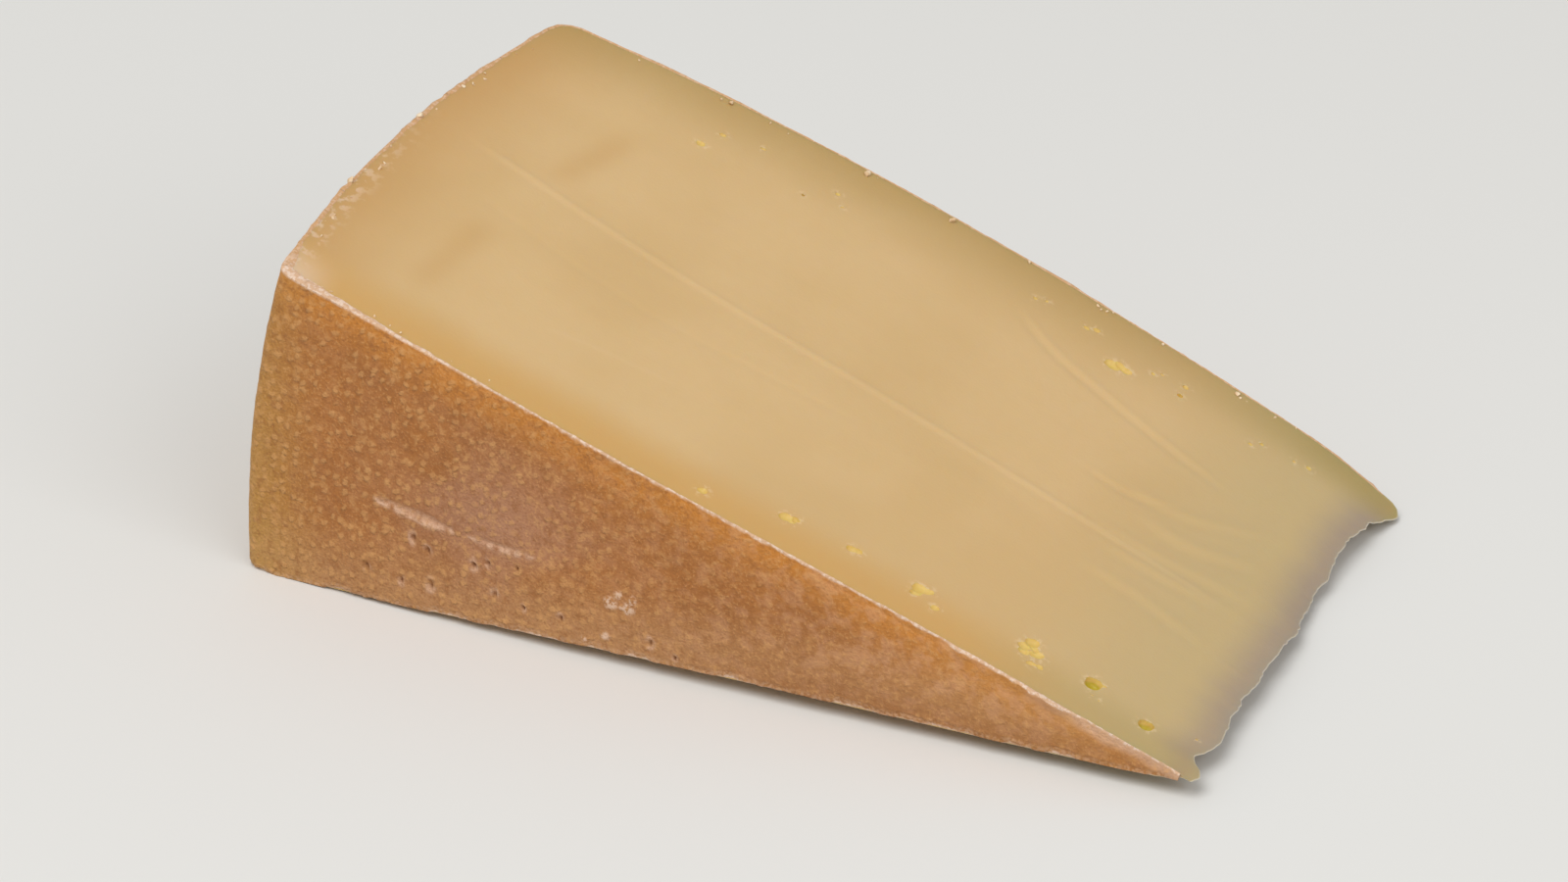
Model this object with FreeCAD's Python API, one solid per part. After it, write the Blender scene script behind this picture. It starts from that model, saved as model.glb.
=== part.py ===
"""A wedge of mountain cheese, lying on one of its two cut faces.

The wedge is a sector of a round wheel. While it is built, the wheel's axis lies along Y through x = 0, z = 0.
The wheel's rim points towards -X, one of its flats lies near y = 0 and the other near y = WHEEL_THICKNESS.
The finished wedge is moved so that its origin is at the middle of its box's underside.
"""
import FreeCAD, Part
import math
import os

Vector = FreeCAD.Vector
Y_AXIS = Vector(0, 1, 0)

# The wheel, in millimetres.
WHEEL_RADIUS = 158.2       # from the axis to the corners of the rim
WHEEL_THICKNESS = 90.0     # between the two flats, near the middle of the wheel
RIM_BULGE = 3.9            # how far the rim swells beyond its corners
LEVEL_RADIUS = 67.0        # the flats are level inside this radius
FRONT_FLAT_FALL = 4.1      # how far the front flat falls away at the rim
BACK_FLAT_FALL = 3.4       # the same at the back flat
FRONT_RIM_ROUND = 1.6      # rounding of the rim's front corner
BACK_RIM_ROUND = 3.4       # rounding of the rim's back corner

# The upper cut. The knife leaned a little, so the angle differs from front to back.
FRONT_ANGLE = 17.95        # degrees above the lower cut, along the front flat
BACK_ANGLE = 21.4          # degrees above the lower cut, along the back flat
BACK_APEX_SHIFT = 2.1      # the back of the upper cut meets the lower cut this far before the axis
FRONT_BOW = 1.7            # how far the upper cut bows up half-way along the front flat
BACK_BOW = 3.5             # the same along the back flat

# The lower cut, which the wedge lies on. It touches along the rim and at one place of the tip.
ARCH_RISE = 2.0            # how far the underside arches up half-way along
ARCH_SHARPNESS = 1.5       # how softly the arch starts at its ends

# The tip, which ends before the axis in a thin uneven edge.
TIP_TO_AXIS = 9.7          # from the axis to the foremost point of the tip
TIP_EDGE = 0.8             # thickness of the tip's edge
TIP_KNOB = 2.4             # thickness of the tip's edge at its back corner
FRONT_TIP_LIFT = 2.9       # height of the edge's underside at the front
BACK_TIP_LIFT = 1.9        # height of the edge's underside between its resting place and the back corner
LIFT_FALL_START = 0.40     # shares of the thickness, counted from the front
LIFT_FALL_END = 0.64       # the resting place
KNOB_START = 0.90
DROOP_START = 0.88         # share of the length, counted from the rim, where the edge starts to droop

# How far the tip's edge stands back from its foremost point: share of the thickness, set-back.
TIP_OUTLINE = (
    (0.00, 0.2),
    (0.09, 1.5),
    (0.28, 1.5),
    (0.50, 1.8),
    (0.70, 3.2),
    (0.88, 2.8),
    (0.95, 1.4),
    (0.98, 0.4),
    (1.01, 2.0),
)

# Small eyes in the upper cut: share of the length from the rim, share of the thickness, width, depth.
EYES = (
    (0.41, 0.90, 1.8, 0.9),
    (0.67, 0.92, 1.8, 1.0),
    (0.72, 0.87, 3.2, 1.4),
    (0.78, 0.90, 1.6, 1.2),
    (0.58, 0.07, 2.6, 1.2),
    (0.64, 0.09, 1.8, 1.0),
    (0.71, 0.08, 2.4, 1.2),
    (0.82, 0.09, 3.4, 1.4),
    (0.88, 0.09, 2.4, 1.8),
    (0.94, 0.07, 2.0, 1.4),
)

# Construction allowances.
CORE_RADIUS = 3.0          # the sector starts this close to the axis, inside what the tip's outline removes
START_ANGLE = -6.0         # the sector is first made larger than the wedge, in degrees
SWEEP_ANGLE = 42.0
MARGIN = 8.0               # how far the cutting surfaces reach past the sector
CUT_DEPTH = 110.0          # how much the cutting tools remove above or below their surface
LENGTH_STATIONS = 29
WIDTH_STATIONS = 17

WEDGE_LENGTH = WHEEL_RADIUS - TIP_TO_AXIS


def smooth_step(start, end, value):
    """Return 0 before start, 1 after end, and a smooth rise between them."""
    share = min(max((value - start) / (end - start), 0.0), 1.0)
    return share * share * (3.0 - 2.0 * share)


def mix(front, back, share):
    """Return the value at a share of the way from front to back."""
    return front + (back - front) * share


def length_share(x):
    """Return how far x lies along the wedge: 0 at the rim, 1 at the tip."""
    return (x + WHEEL_RADIUS) / WEDGE_LENGTH


def tip_lift(across):
    """Return the height of the tip's underside at a share of the thickness."""
    front = FRONT_TIP_LIFT * (1.0 - smooth_step(LIFT_FALL_START, LIFT_FALL_END, across))
    behind = (across - LIFT_FALL_END) / (1.0 - LIFT_FALL_END)
    if 0.0 < behind < 1.0:
        return front + BACK_TIP_LIFT * math.sin(math.pi * behind) ** 2
    return front


def tip_thickness(across):
    """Return the thickness of the tip's edge at a share of the thickness."""
    return mix(TIP_EDGE, TIP_KNOB, smooth_step(KNOB_START, 1.0, across))


def ruled_height(x, across):
    """Return the height of the upper cut, before the tip's edge droops."""
    along = length_share(x)
    bow = 4.0 * along * (1.0 - along)
    front = -x * math.tan(math.radians(FRONT_ANGLE)) + FRONT_BOW * bow
    back = (-x - BACK_APEX_SHIFT) * math.tan(math.radians(BACK_ANGLE)) + BACK_BOW * bow
    return mix(front, back, across)


def upper_height(x, y):
    """Return the height of the upper cut."""
    across = y / WHEEL_THICKNESS
    droop = max((length_share(x) - DROOP_START) / (1.0 - DROOP_START), 0.0) ** 2
    edge = tip_lift(across) + tip_thickness(across) - ruled_height(-TIP_TO_AXIS, across)
    return ruled_height(x, across) + droop * edge


def lower_height(x, y):
    """Return the height of the lower cut."""
    along = length_share(x)
    inside = min(max(along, 0.0), 1.0)
    arch = ARCH_RISE * math.sin(math.pi * inside) ** ARCH_SHARPNESS
    return arch + tip_lift(y / WHEEL_THICKNESS) * max(along, 0.0) ** 3


def flat_fall(start, fall, direction):
    """Return the edge of a flat's outer part, which falls away towards the rim like a parabola."""
    curve = Part.BezierCurve()
    middle = (LEVEL_RADIUS + WHEEL_RADIUS) / 2.0
    curve.setPoles([
        Vector(-LEVEL_RADIUS, start, 0),
        Vector(-middle, start, 0),
        Vector(-WHEEL_RADIUS, start + direction * fall, 0),
    ])
    return curve.toShape()


def wheel_sector():
    """Return a sector of the whole wheel, larger than the wedge."""
    front_corner = Vector(-WHEEL_RADIUS, FRONT_FLAT_FALL, 0)
    back_corner = Vector(-WHEEL_RADIUS, WHEEL_THICKNESS - BACK_FLAT_FALL, 0)
    rim_middle = Vector(-WHEEL_RADIUS - RIM_BULGE, (front_corner.y + back_corner.y) / 2.0, 0)
    front_level = Vector(-LEVEL_RADIUS, 0, 0)
    back_level = Vector(-LEVEL_RADIUS, WHEEL_THICKNESS, 0)
    front_core = Vector(-CORE_RADIUS, 0, 0)
    back_core = Vector(-CORE_RADIUS, WHEEL_THICKNESS, 0)
    profile = Part.Wire([
        Part.LineSegment(front_core, front_level).toShape(),
        flat_fall(0.0, FRONT_FLAT_FALL, 1.0),
        Part.Arc(front_corner, rim_middle, back_corner).toShape(),
        flat_fall(WHEEL_THICKNESS, BACK_FLAT_FALL, -1.0),
        Part.LineSegment(back_level, back_core).toShape(),
        Part.LineSegment(back_core, front_core).toShape(),
    ])
    section = Part.Face(profile)
    section.rotate(Vector(0, 0, 0), Y_AXIS, START_ANGLE)
    sector = section.revolve(Vector(0, 0, 0), Y_AXIS, SWEEP_ANGLE)
    sector = rounded_corner(sector, front_corner.y, FRONT_RIM_ROUND)
    return rounded_corner(sector, back_corner.y, BACK_RIM_ROUND)


def rounded_corner(sector, corner_y, radius):
    """Return the sector with the rim's corner at corner_y rounded."""
    corner = [
        edge
        for edge in sector.Edges
        if all(abs(vertex.Y - corner_y) < 1e-6 for vertex in edge.Vertexes)
        and abs(edge.BoundBox.YLength) < 1e-6
        and edge.Length > WHEEL_RADIUS / 2.0
    ]
    return sector.makeFillet(radius, corner).Solids[0]


def cutting_tool(height_at, depth):
    """Return a solid that starts at the surface of heights and reaches depth above it, or below it."""
    x_start = -WHEEL_RADIUS - RIM_BULGE - MARGIN
    x_end = -CORE_RADIUS
    rows = []
    for i in range(LENGTH_STATIONS):
        x = mix(x_start, x_end, i / (LENGTH_STATIONS - 1))
        row = []
        for j in range(WIDTH_STATIONS):
            y = mix(-MARGIN, WHEEL_THICKNESS + MARGIN, j / (WIDTH_STATIONS - 1))
            row.append(Vector(x, y, height_at(x, y)))
        rows.append(row)
    surface = Part.BSplineSurface()
    surface.interpolate(rows)
    return surface.toShape().extrude(Vector(0, 0, depth))


def tip_tool():
    """Return a solid that removes what lies beyond the tip's uneven edge."""
    points = [Vector(-TIP_TO_AXIS, -MARGIN, 0)]
    for across, set_back in TIP_OUTLINE:
        points.append(Vector(-TIP_TO_AXIS - set_back, across * WHEEL_THICKNESS, 0))
    points.append(Vector(-TIP_TO_AXIS - MARGIN, WHEEL_THICKNESS + MARGIN, 0))
    edge = Part.BSplineCurve()
    edge.interpolate(points)
    far_back = Vector(MARGIN, WHEEL_THICKNESS + MARGIN, 0)
    far_front = Vector(MARGIN, -MARGIN, 0)
    outline = Part.Wire([
        edge.toShape(),
        Part.LineSegment(points[-1], far_back).toShape(),
        Part.LineSegment(far_back, far_front).toShape(),
        Part.LineSegment(far_front, points[0]).toShape(),
    ])
    face = Part.Face(outline)
    face.translate(Vector(0, 0, -MARGIN))
    return face.extrude(Vector(0, 0, CUT_DEPTH))


def eye_tool(along, across, width, depth):
    """Return a ball that opens a round eye of the given width and depth in the upper cut."""
    x = -WHEEL_RADIUS + along * WEDGE_LENGTH
    y = across * WHEEL_THICKNESS
    radius = (width * width / 4.0 + depth * depth) / (2.0 * depth)
    centre = Vector(x, y, upper_height(x, y) + radius - depth)
    return Part.makeSphere(radius, centre)


def without(solid, tool):
    """Return the main piece of what is left of the solid when the tool is removed."""
    pieces = solid.cut(tool).Solids
    return max(pieces, key=lambda piece: piece.Volume)


def cheese_wedge():
    """Return the whole wedge as one solid."""
    wedge = without(wheel_sector(), cutting_tool(upper_height, CUT_DEPTH))
    wedge = without(wedge, cutting_tool(lower_height, -CUT_DEPTH))
    wedge = without(wedge, tip_tool())
    for eye in EYES:
        wedge = without(wedge, eye_tool(*eye))
    return wedge


def placed(shape):
    """Return the shape moved so that the middle of its box's underside is at the origin."""
    box = shape.optimalBoundingBox(False)
    shape.translate(Vector(-box.Center.x, -box.Center.y, -box.ZMin))
    return shape


os.makedirs("parts", exist_ok=True)
wedge = placed(cheese_wedge())
wedge.exportStep("parts/cheese_wedge.step")
size = wedge.optimalBoundingBox(False)
print("box %.2f x %.2f x %.2f mm" % (size.XLength, size.YLength, size.ZLength))
print("volume %.1f cm3, %d faces, valid %s" % (wedge.Volume / 1000.0, len(wedge.Faces), wedge.isValid()))
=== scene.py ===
"""A wedge of mountain cheese on a pale floor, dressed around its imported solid.

The wedge is a sector of a round wheel, and lies on one of its two cut faces. Its form is worked out in
wheel coordinates: a radius from the wheel's axis, a place across the wheel's thickness, and an angle above
the floor. The form's sizes are in millimetres. They become metres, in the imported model's frame, when a mesh
gets its points.
"""

import logging
import math
from dataclasses import dataclass, field
from enum import Enum

import bmesh
import bpy
import numpy as np
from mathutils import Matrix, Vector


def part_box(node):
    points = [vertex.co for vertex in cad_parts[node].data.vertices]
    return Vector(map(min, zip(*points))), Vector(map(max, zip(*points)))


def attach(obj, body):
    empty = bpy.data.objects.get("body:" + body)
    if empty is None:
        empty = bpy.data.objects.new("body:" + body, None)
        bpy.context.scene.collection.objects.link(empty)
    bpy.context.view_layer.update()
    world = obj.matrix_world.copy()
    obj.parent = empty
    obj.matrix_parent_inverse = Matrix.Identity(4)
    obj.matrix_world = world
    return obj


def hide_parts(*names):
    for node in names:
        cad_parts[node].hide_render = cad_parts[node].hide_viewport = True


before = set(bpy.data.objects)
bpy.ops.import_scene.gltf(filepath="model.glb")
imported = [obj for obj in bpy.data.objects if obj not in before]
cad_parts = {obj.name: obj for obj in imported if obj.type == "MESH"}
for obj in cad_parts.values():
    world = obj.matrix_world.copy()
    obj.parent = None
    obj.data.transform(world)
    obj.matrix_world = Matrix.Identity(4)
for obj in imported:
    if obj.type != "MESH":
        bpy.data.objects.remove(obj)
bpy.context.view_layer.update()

NODE = "cheese_wedge"
BODY = "root"
MM = 0.001
FAR = 1e9
GOLDEN_ANGLE = math.pi * (3.0 - math.sqrt(5.0))
Array = np.ndarray
Colour = tuple[float, float, float, float]
Piece = bpy.types.Object
Node = bpy.types.Node
Socket = bpy.types.NodeSocket
log = logging.getLogger("cheese")


class Slot(Enum):
    """The record's material slots."""

    PASTE = "paste"
    RIND = "rind"
    CRUMB = "crumb"


def srgb(red: int, green: int, blue: int) -> Colour:
    """Return a display colour, 0 to 255 a channel, as linear values."""
    def linear(level: int) -> float:
        """Return one channel as a linear value."""
        share = level / 255.0
        return share / 12.92 if share <= 0.04045 else ((share + 0.055) / 1.055) ** 2.4

    return (linear(red), linear(green), linear(blue), 1.0)


# ----------------------------------------------------------------------
# Numbers


def mix(first: Array | float, last: Array | float, share: Array | float) -> Array:
    """Return the value at a share of the way from first to last."""
    return first + (last - first) * share


def smooth_step(start: float, end: float, value: Array) -> Array:
    """Return 0 before start, 1 after end, and a smooth rise between them."""
    share = np.clip((value - start) / (end - start), 0.0, 1.0)
    return share * share * (3.0 - 2.0 * share)


def bump(value: Array, width: float) -> Array:
    """Return 1 where the value is 0, falling to nothing a couple of widths away."""
    return np.exp(-((value / width) ** 2))


def flat_points(x: Array, y: Array | float = 0.0) -> Array:
    """Return places in a plane, or along a line, as rows of three coordinates."""
    return np.stack(np.broadcast_arrays(x, y, 0.0), axis=1)


def curve_through(places: Array, values: Array, at: Array) -> Array:
    """Return a smooth curve through the given values.

    Args:
        places: where the values are given, rising.
        values: the values there.
        at: where the curve is wanted.

    Returns:
        The curve's value at each wanted place.
    """
    slopes = np.gradient(values, places)
    index = np.clip(np.searchsorted(places, at) - 1, 0, len(places) - 2)
    gap = places[index + 1] - places[index]
    t = np.clip((at - places[index]) / gap, 0.0, 1.0)
    rise = values[index + 1] - values[index]
    ease = t * t * (3.0 - 2.0 * t)
    leave = t * (1.0 - t) ** 2 * gap * slopes[index]
    arrive = t * t * (t - 1.0) * gap * slopes[index + 1]
    return values[index] + ease * rise + leave + arrive


@dataclass(frozen=True)
class Lattice:
    """Smooth seeded noise between -1 and 1 on points in millimetres."""

    seed: int
    side: int = 32

    def table(self) -> Array:
        """Return the seeded values at the lattice's corners."""
        return np.random.default_rng(self.seed).uniform(-1.0, 1.0, (self.side,) * 3)

    def at(self, points: Array, grain: float) -> Array:
        """Return the noise at the points.

        Args:
            points: one row of three coordinates a point.
            grain: size of one lattice cell.

        Returns:
            One value a point.
        """
        table = self.table()
        scaled = points / grain
        cell = np.floor(scaled).astype(int)
        part = scaled - cell
        part = part * part * (3.0 - 2.0 * part)
        total = np.zeros(len(points))
        for corner in range(8):
            step = np.array([corner & 1, corner >> 1 & 1, corner >> 2 & 1])
            weight = np.prod(np.where(step == 1, part, 1.0 - part), axis=1)
            x, y, z = ((cell + step) % self.side).T
            total += weight * table[x, y, z]
        return total

    def rough(self, points: Array, grain: float, layers: int = 3) -> Array:
        """Return noise with finer layers added to it, each half as strong as the last."""
        total = np.zeros(len(points))
        for layer in range(layers):
            total += self.at(points + 7.3 * layer, grain / 2.0**layer) / 2.0**layer
        return total / (2.0 - 2.0 ** (1 - layers))


# ----------------------------------------------------------------------
# The wedge's form


@dataclass(frozen=True)
class WedgeForm:
    """The wedge as a sector of a wheel, in millimetres; the wheel's axis is the Y axis."""

    thickness: float
    radius: float = 158.2
    rim_bulge: float = 3.9
    level_radius: float = 67.0
    front_fall: float = 4.1
    back_fall: float = 3.4
    front_round: float = 1.6
    back_round: float = 3.4
    front_angle: float = 17.95
    back_angle: float = 21.4
    back_apex_shift: float = 2.1
    front_bow: float = 1.7
    back_bow: float = 3.5
    arch_rise: float = 2.0
    arch_sharpness: float = 1.5
    tip_to_axis: float = 9.7
    tip_edge: float = 0.15
    tip_knob: float = 0.45
    tip_corner: float = 2.0
    front_tip_lift: float = 2.9
    back_tip_lift: float = 1.9
    lift_fall: tuple[float, float] = (0.40, 0.64)
    knob_start: float = 0.92
    droop_start: float = 0.88
    tip_outline: tuple[tuple[float, float], ...] = (
        (0.00, 0.9), (0.02, 0.4), (0.04, 1.2), (0.05, 2.0), (0.08, 1.7), (0.11, 0.8), (0.20, 1.5),
        (0.50, 1.8), (0.70, 3.2), (0.88, 2.8), (0.95, 1.4), (0.98, 0.4), (1.01, 2.0),
    )

    @property
    def length(self) -> float:
        """Return the length from the rim's corners to the foremost point of the tip."""
        return self.radius - self.tip_to_axis

    def along(self, x: Array) -> Array:
        """Return how far x lies along the wedge: 0 at the rim's corners, 1 at the tip."""
        return (x + self.radius) / self.length

    def fall(self, radius: Array, depth: float) -> Array:
        """Return how far a flat of the wheel has fallen away at a radius."""
        beyond = np.clip((radius - self.level_radius) / (self.radius - self.level_radius), 0.0, None)
        return depth * beyond**2

    def front(self, radius: Array) -> Array:
        """Return the front flat's place across the wheel."""
        return self.fall(radius, self.front_fall)

    def back(self, radius: Array) -> Array:
        """Return the back flat's place across the wheel."""
        return self.thickness - self.fall(radius, self.back_fall)

    def rim(self, y: Array) -> Array:
        """Return the rim's radius across the wheel, before its corners are rounded."""
        low, high = self.front_fall, self.thickness - self.back_fall
        half = (high - low) / 2.0
        curve = (half**2 + self.rim_bulge**2) / (2.0 * self.rim_bulge)
        offset = np.clip(y - (low + high) / 2.0, -half, half)
        return self.radius + self.rim_bulge - curve + np.sqrt(curve**2 - offset**2)

    def tip(self, y: Array) -> Array:
        """Return the radius at which the tip's uneven edge lies."""
        places, values = np.array(self.tip_outline).T
        line = flat_points(np.ravel(y))
        ragged = 0.32 * Lattice(3).at(line, 2.6) + 0.16 * Lattice(4).at(line, 0.8)
        smooth = curve_through(places, values, y / self.thickness)
        beyond = np.clip(self.tip_corner - self.thickness + y, 0.0, self.tip_corner)
        corner = self.tip_corner - np.sqrt(self.tip_corner**2 - beyond**2)
        return self.tip_to_axis + np.maximum(smooth + ragged.reshape(np.shape(y)), corner)

    def tip_lift(self, across: Array) -> Array:
        """Return the height of the tip's underside."""
        front = self.front_tip_lift * (1.0 - smooth_step(*self.lift_fall, across))
        behind = np.clip((across - self.lift_fall[1]) / (1.0 - self.lift_fall[1]), 0.0, 1.0)
        return front + self.back_tip_lift * np.sin(math.pi * behind) ** 2

    def tip_thickness(self, across: Array) -> Array:
        """Return the thickness of the tip's edge."""
        return mix(self.tip_edge, self.tip_knob, smooth_step(self.knob_start, 1.0, across))

    def ruled(self, x: Array, across: Array) -> Array:
        """Return the height of the upper cut, before the tip's edge droops."""
        along = self.along(x)
        bow = 4.0 * along * (1.0 - along)
        front = -x * math.tan(math.radians(self.front_angle)) + self.front_bow * bow
        back = (-x - self.back_apex_shift) * math.tan(math.radians(self.back_angle)) + self.back_bow * bow
        return mix(front, back, across)

    def upper(self, x: Array, y: Array) -> Array:
        """Return the height of the upper cut."""
        across = y / self.thickness
        droop = np.clip((self.along(x) - self.droop_start) / (1.0 - self.droop_start), 0.0, None) ** 2
        edge = self.tip_lift(across) + self.tip_thickness(across) - self.ruled(-self.tip_to_axis, across)
        return self.ruled(x, across) + droop * edge

    def lower(self, x: Array, y: Array) -> Array:
        """Return the height of the lower cut."""
        along = self.along(x)
        arch = self.arch_rise * np.sin(math.pi * np.clip(along, 0.0, 1.0)) ** self.arch_sharpness
        return arch + self.tip_lift(y / self.thickness) * np.clip(along, 0.0, None) ** 3

    def angles(self, radius: Array, y: Array) -> tuple[Array, Array]:
        """Return the angles above the floor at which the lower and the upper cut lie.

        Args:
            radius: distance from the wheel's axis.
            y: place across the wheel.

        Returns:
            The lower cut's angle and the upper cut's, in radians.
        """
        found = []
        for height in (self.lower, self.upper):
            angle = np.zeros(np.broadcast(radius, y).shape)
            for _ in range(9):
                rise = height(-radius * np.cos(angle), y) / radius
                angle = np.arcsin(np.clip(rise, -0.9, 0.9))
            found.append(angle)
        return found[0], found[1]

    def point(self, radius: Array, y: Array, share: Array) -> Array:
        """Return the points at a share of the way from the lower cut to the upper cut.

        Args:
            radius: distance from the wheel's axis.
            y: place across the wheel.
            share: 0 on the lower cut, 1 on the upper cut.

        Returns:
            One row of three coordinates a point.
        """
        low, high = self.angles(radius, y)
        angle = mix(low, high, share)
        return np.stack([-radius * np.cos(angle), y + 0.0 * angle, radius * np.sin(angle)], axis=-1)


# ----------------------------------------------------------------------
# Marks in the upper cut


@dataclass(frozen=True)
class Stroke:
    """A long mark in the upper cut, through points at shares of the wedge's length and thickness.

    rise is the height of its middle, and tilt the height of the step beside it, both in millimetres.
    """

    points: tuple[tuple[float, float], ...]
    width: float
    rise: float = 0.0
    tilt: float = 0.0
    taper: float = 6.0

    def line(self, form: WedgeForm) -> Array:
        """Return the mark's middle line in millimetres, in short straight pieces."""
        knots = np.array(self.points) * (form.length, form.thickness)
        if len(knots) == 2:
            return knots
        reach = np.concatenate([[0.0], np.cumsum(np.linalg.norm(np.diff(knots, axis=0), axis=1))])
        at = np.linspace(0.0, reach[-1], 8 * len(knots))
        return np.stack([curve_through(reach, knots[:, k], at) for k in (0, 1)], axis=1)

    def places(self, form: WedgeForm, x: Array, y: Array) -> tuple[Array, Array]:
        """Return where points lie beside the mark.

        Args:
            form: the wedge's form.
            x: distance along the wedge from the rim's corners.
            y: place across the wedge.

        Returns:
            The signed distance from the middle line, and a weight that falls to 0 at the mark's ends.
        """
        line = self.line(form)
        here = np.stack([x, y], axis=1)
        nearest = np.full(len(x), FAR)
        signed = np.full(len(x), FAR)
        reach = np.zeros(len(x))
        start = 0.0
        for first, last in zip(line[:-1], line[1:]):
            way = last - first
            size = float(np.linalg.norm(way))
            share = np.clip((here - first) @ way / size**2, 0.0, 1.0)
            apart = here - first - share[:, None] * way
            distance = np.linalg.norm(apart, axis=1)
            side = np.sign(way[0] * apart[:, 1] - way[1] * apart[:, 0])
            closer = distance < nearest
            nearest = np.where(closer, distance, nearest)
            signed = np.where(closer, side * distance, signed)
            reach = np.where(closer, start + share * size, reach)
            start += size
        taper = min(self.taper, 0.45 * start)
        weight = smooth_step(0.0, taper, reach) * smooth_step(0.0, taper, start - reach)
        return signed, weight

    def near(self, form: WedgeForm, x: Array, y: Array) -> Array:
        """Return which points lie near enough to the mark to feel it."""
        reach = 3.2 * self.width
        low = self.line(form).min(axis=0) - reach
        high = self.line(form).max(axis=0) + reach
        return (x > low[0]) & (x < high[0]) & (y > low[1]) & (y < high[1])

    def mask(self, form: WedgeForm, x: Array, y: Array) -> Array:
        """Return 1 on the mark's middle line, falling to 0 beside it and at its ends."""
        near = self.near(form, x, y)
        signed, weight = self.places(form, x[near], y[near])
        result = np.zeros(len(x))
        result[near] = weight * bump(signed, self.width)
        return result

    def height(self, form: WedgeForm, x: Array, y: Array) -> Array:
        """Return how far the mark stands proud of the cut, in millimetres."""
        near = self.near(form, x, y)
        signed, weight = self.places(form, x[near], y[near])
        share = signed / self.width
        result = np.zeros(len(x))
        result[near] = weight * bump(signed, self.width) * (self.rise + 2.0 * self.tilt * share)
        return result


def ripples(count: int, seed: int = 8) -> tuple[Stroke, ...]:
    """Return the soft ripples that fan out towards the tip."""
    draw = np.random.default_rng(seed)
    made = []
    for share in np.linspace(0.0, 1.0, count) + draw.uniform(-0.06, 0.06, count):
        start = draw.uniform(0.76, 0.84)
        middle = mix(0.35, 0.58, share)
        points = ((start, middle), (start + 0.07, middle), (draw.uniform(0.93, 0.96), mix(0.32, 0.68, share)))
        made.append(Stroke(points, draw.uniform(1.1, 2.0), 0.03, draw.uniform(0.13, 0.22), taper=7.0))
    return tuple(made)


KNIFE_RIDGE = Stroke(((0.08, 0.56), (0.33, 0.49), (0.63, 0.46), (0.95, 0.44)), 0.75, 0.11, 0.09, 12.0)
CURVED_STEP = Stroke(((0.60, 0.88), (0.65, 0.82), (0.74, 0.77), (0.88, 0.72)), 1.0, -0.05, 0.17, 9.0)
SHORT_STEP = Stroke(((0.74, 0.58), (0.81, 0.58), (0.85, 0.62)), 0.9, -0.05, 0.13)
HOLLOW_BESIDE_RIDGE = Stroke(((0.13, 0.44), (0.34, 0.37), (0.58, 0.38)), 0.8, -0.05, 0.03)
HOLLOW_BEFORE_TIP = Stroke(((0.62, 0.44), (0.70, 0.42), (0.78, 0.40)), 1.8, -0.05, 0.05)
LONG_SCRATCH = Stroke(((0.27, 0.21), (0.35, 0.23), (0.43, 0.24)), 0.4, 0.02)
SHORT_MARK = Stroke(((0.95, 0.31), (0.98, 0.31)), 0.6, 0.08, 0.0, 2.0)
WIRE_MARKS = (
    Stroke(((0.37, 0.05), (0.39, 0.69)), 0.3, -0.012),
    Stroke(((0.53, 0.50), (0.53, 0.90)), 0.5, -0.012, 0.02),
    Stroke(((0.70, 0.56), (0.71, 0.75)), 0.6, -0.012, 0.02),
)
RELIEF = (KNIFE_RIDGE, CURVED_STEP, SHORT_STEP, HOLLOW_BESIDE_RIDGE, HOLLOW_BEFORE_TIP, LONG_SCRATCH,
          SHORT_MARK, *WIRE_MARKS, *ripples(5))
# The knife ridge and the long scratch get a pale line of painted highlight along them, where light catches
# their raised sides.
RIDGE_HIGHLIGHT_LINES = (KNIFE_RIDGE, LONG_SCRATCH)
OCHRE_BANDS = (
    Stroke(((0.16, 0.13), (0.17, 0.42)), 2.4, taper=8.0),
    Stroke(((0.18, 0.52), (0.22, 0.79)), 2.4, taper=8.0),
)


@dataclass(frozen=True)
class Eye:
    """A small hole in the upper cut: its middle, length, width and depth in millimetres, and its turn."""

    x: float
    y: float
    length: float
    width: float
    depth: float
    turn: float = 0.0

    @property
    def reach(self) -> float:
        """Return how far its rim lies from its middle at most."""
        return max(self.length, self.width) / 2.0


@dataclass(frozen=True)
class EyeGroup:
    """Small holes close together, about a place at shares of the wedge's length and thickness.

    spread, size and depth are in millimetres.
    """

    along: float
    across: float
    count: int = 1
    spread: float = 0.0
    size: float = 1.2
    depth: float = 0.4

    def eyes(self, form: WedgeForm, draw: np.random.Generator) -> list[Eye]:
        """Return the group's holes, scattered over a round patch."""
        x, y = self.along * form.length - form.radius, self.across * form.thickness
        turn = draw.uniform(0.0, 2.0 * math.pi)
        found = []
        for index in range(self.count):
            angle = turn + GOLDEN_ANGLE * index
            apart = self.spread * math.sqrt((index + draw.uniform(0.2, 0.8)) / self.count)
            size = self.size * draw.uniform(0.7, 1.2)
            found.append(Eye(x + apart * math.cos(angle), y + apart * math.sin(angle), size,
                             size * draw.uniform(0.65, 1.0), self.depth * draw.uniform(0.8, 1.1),
                             draw.uniform(-30.0, 30.0)))
        return found


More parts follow.
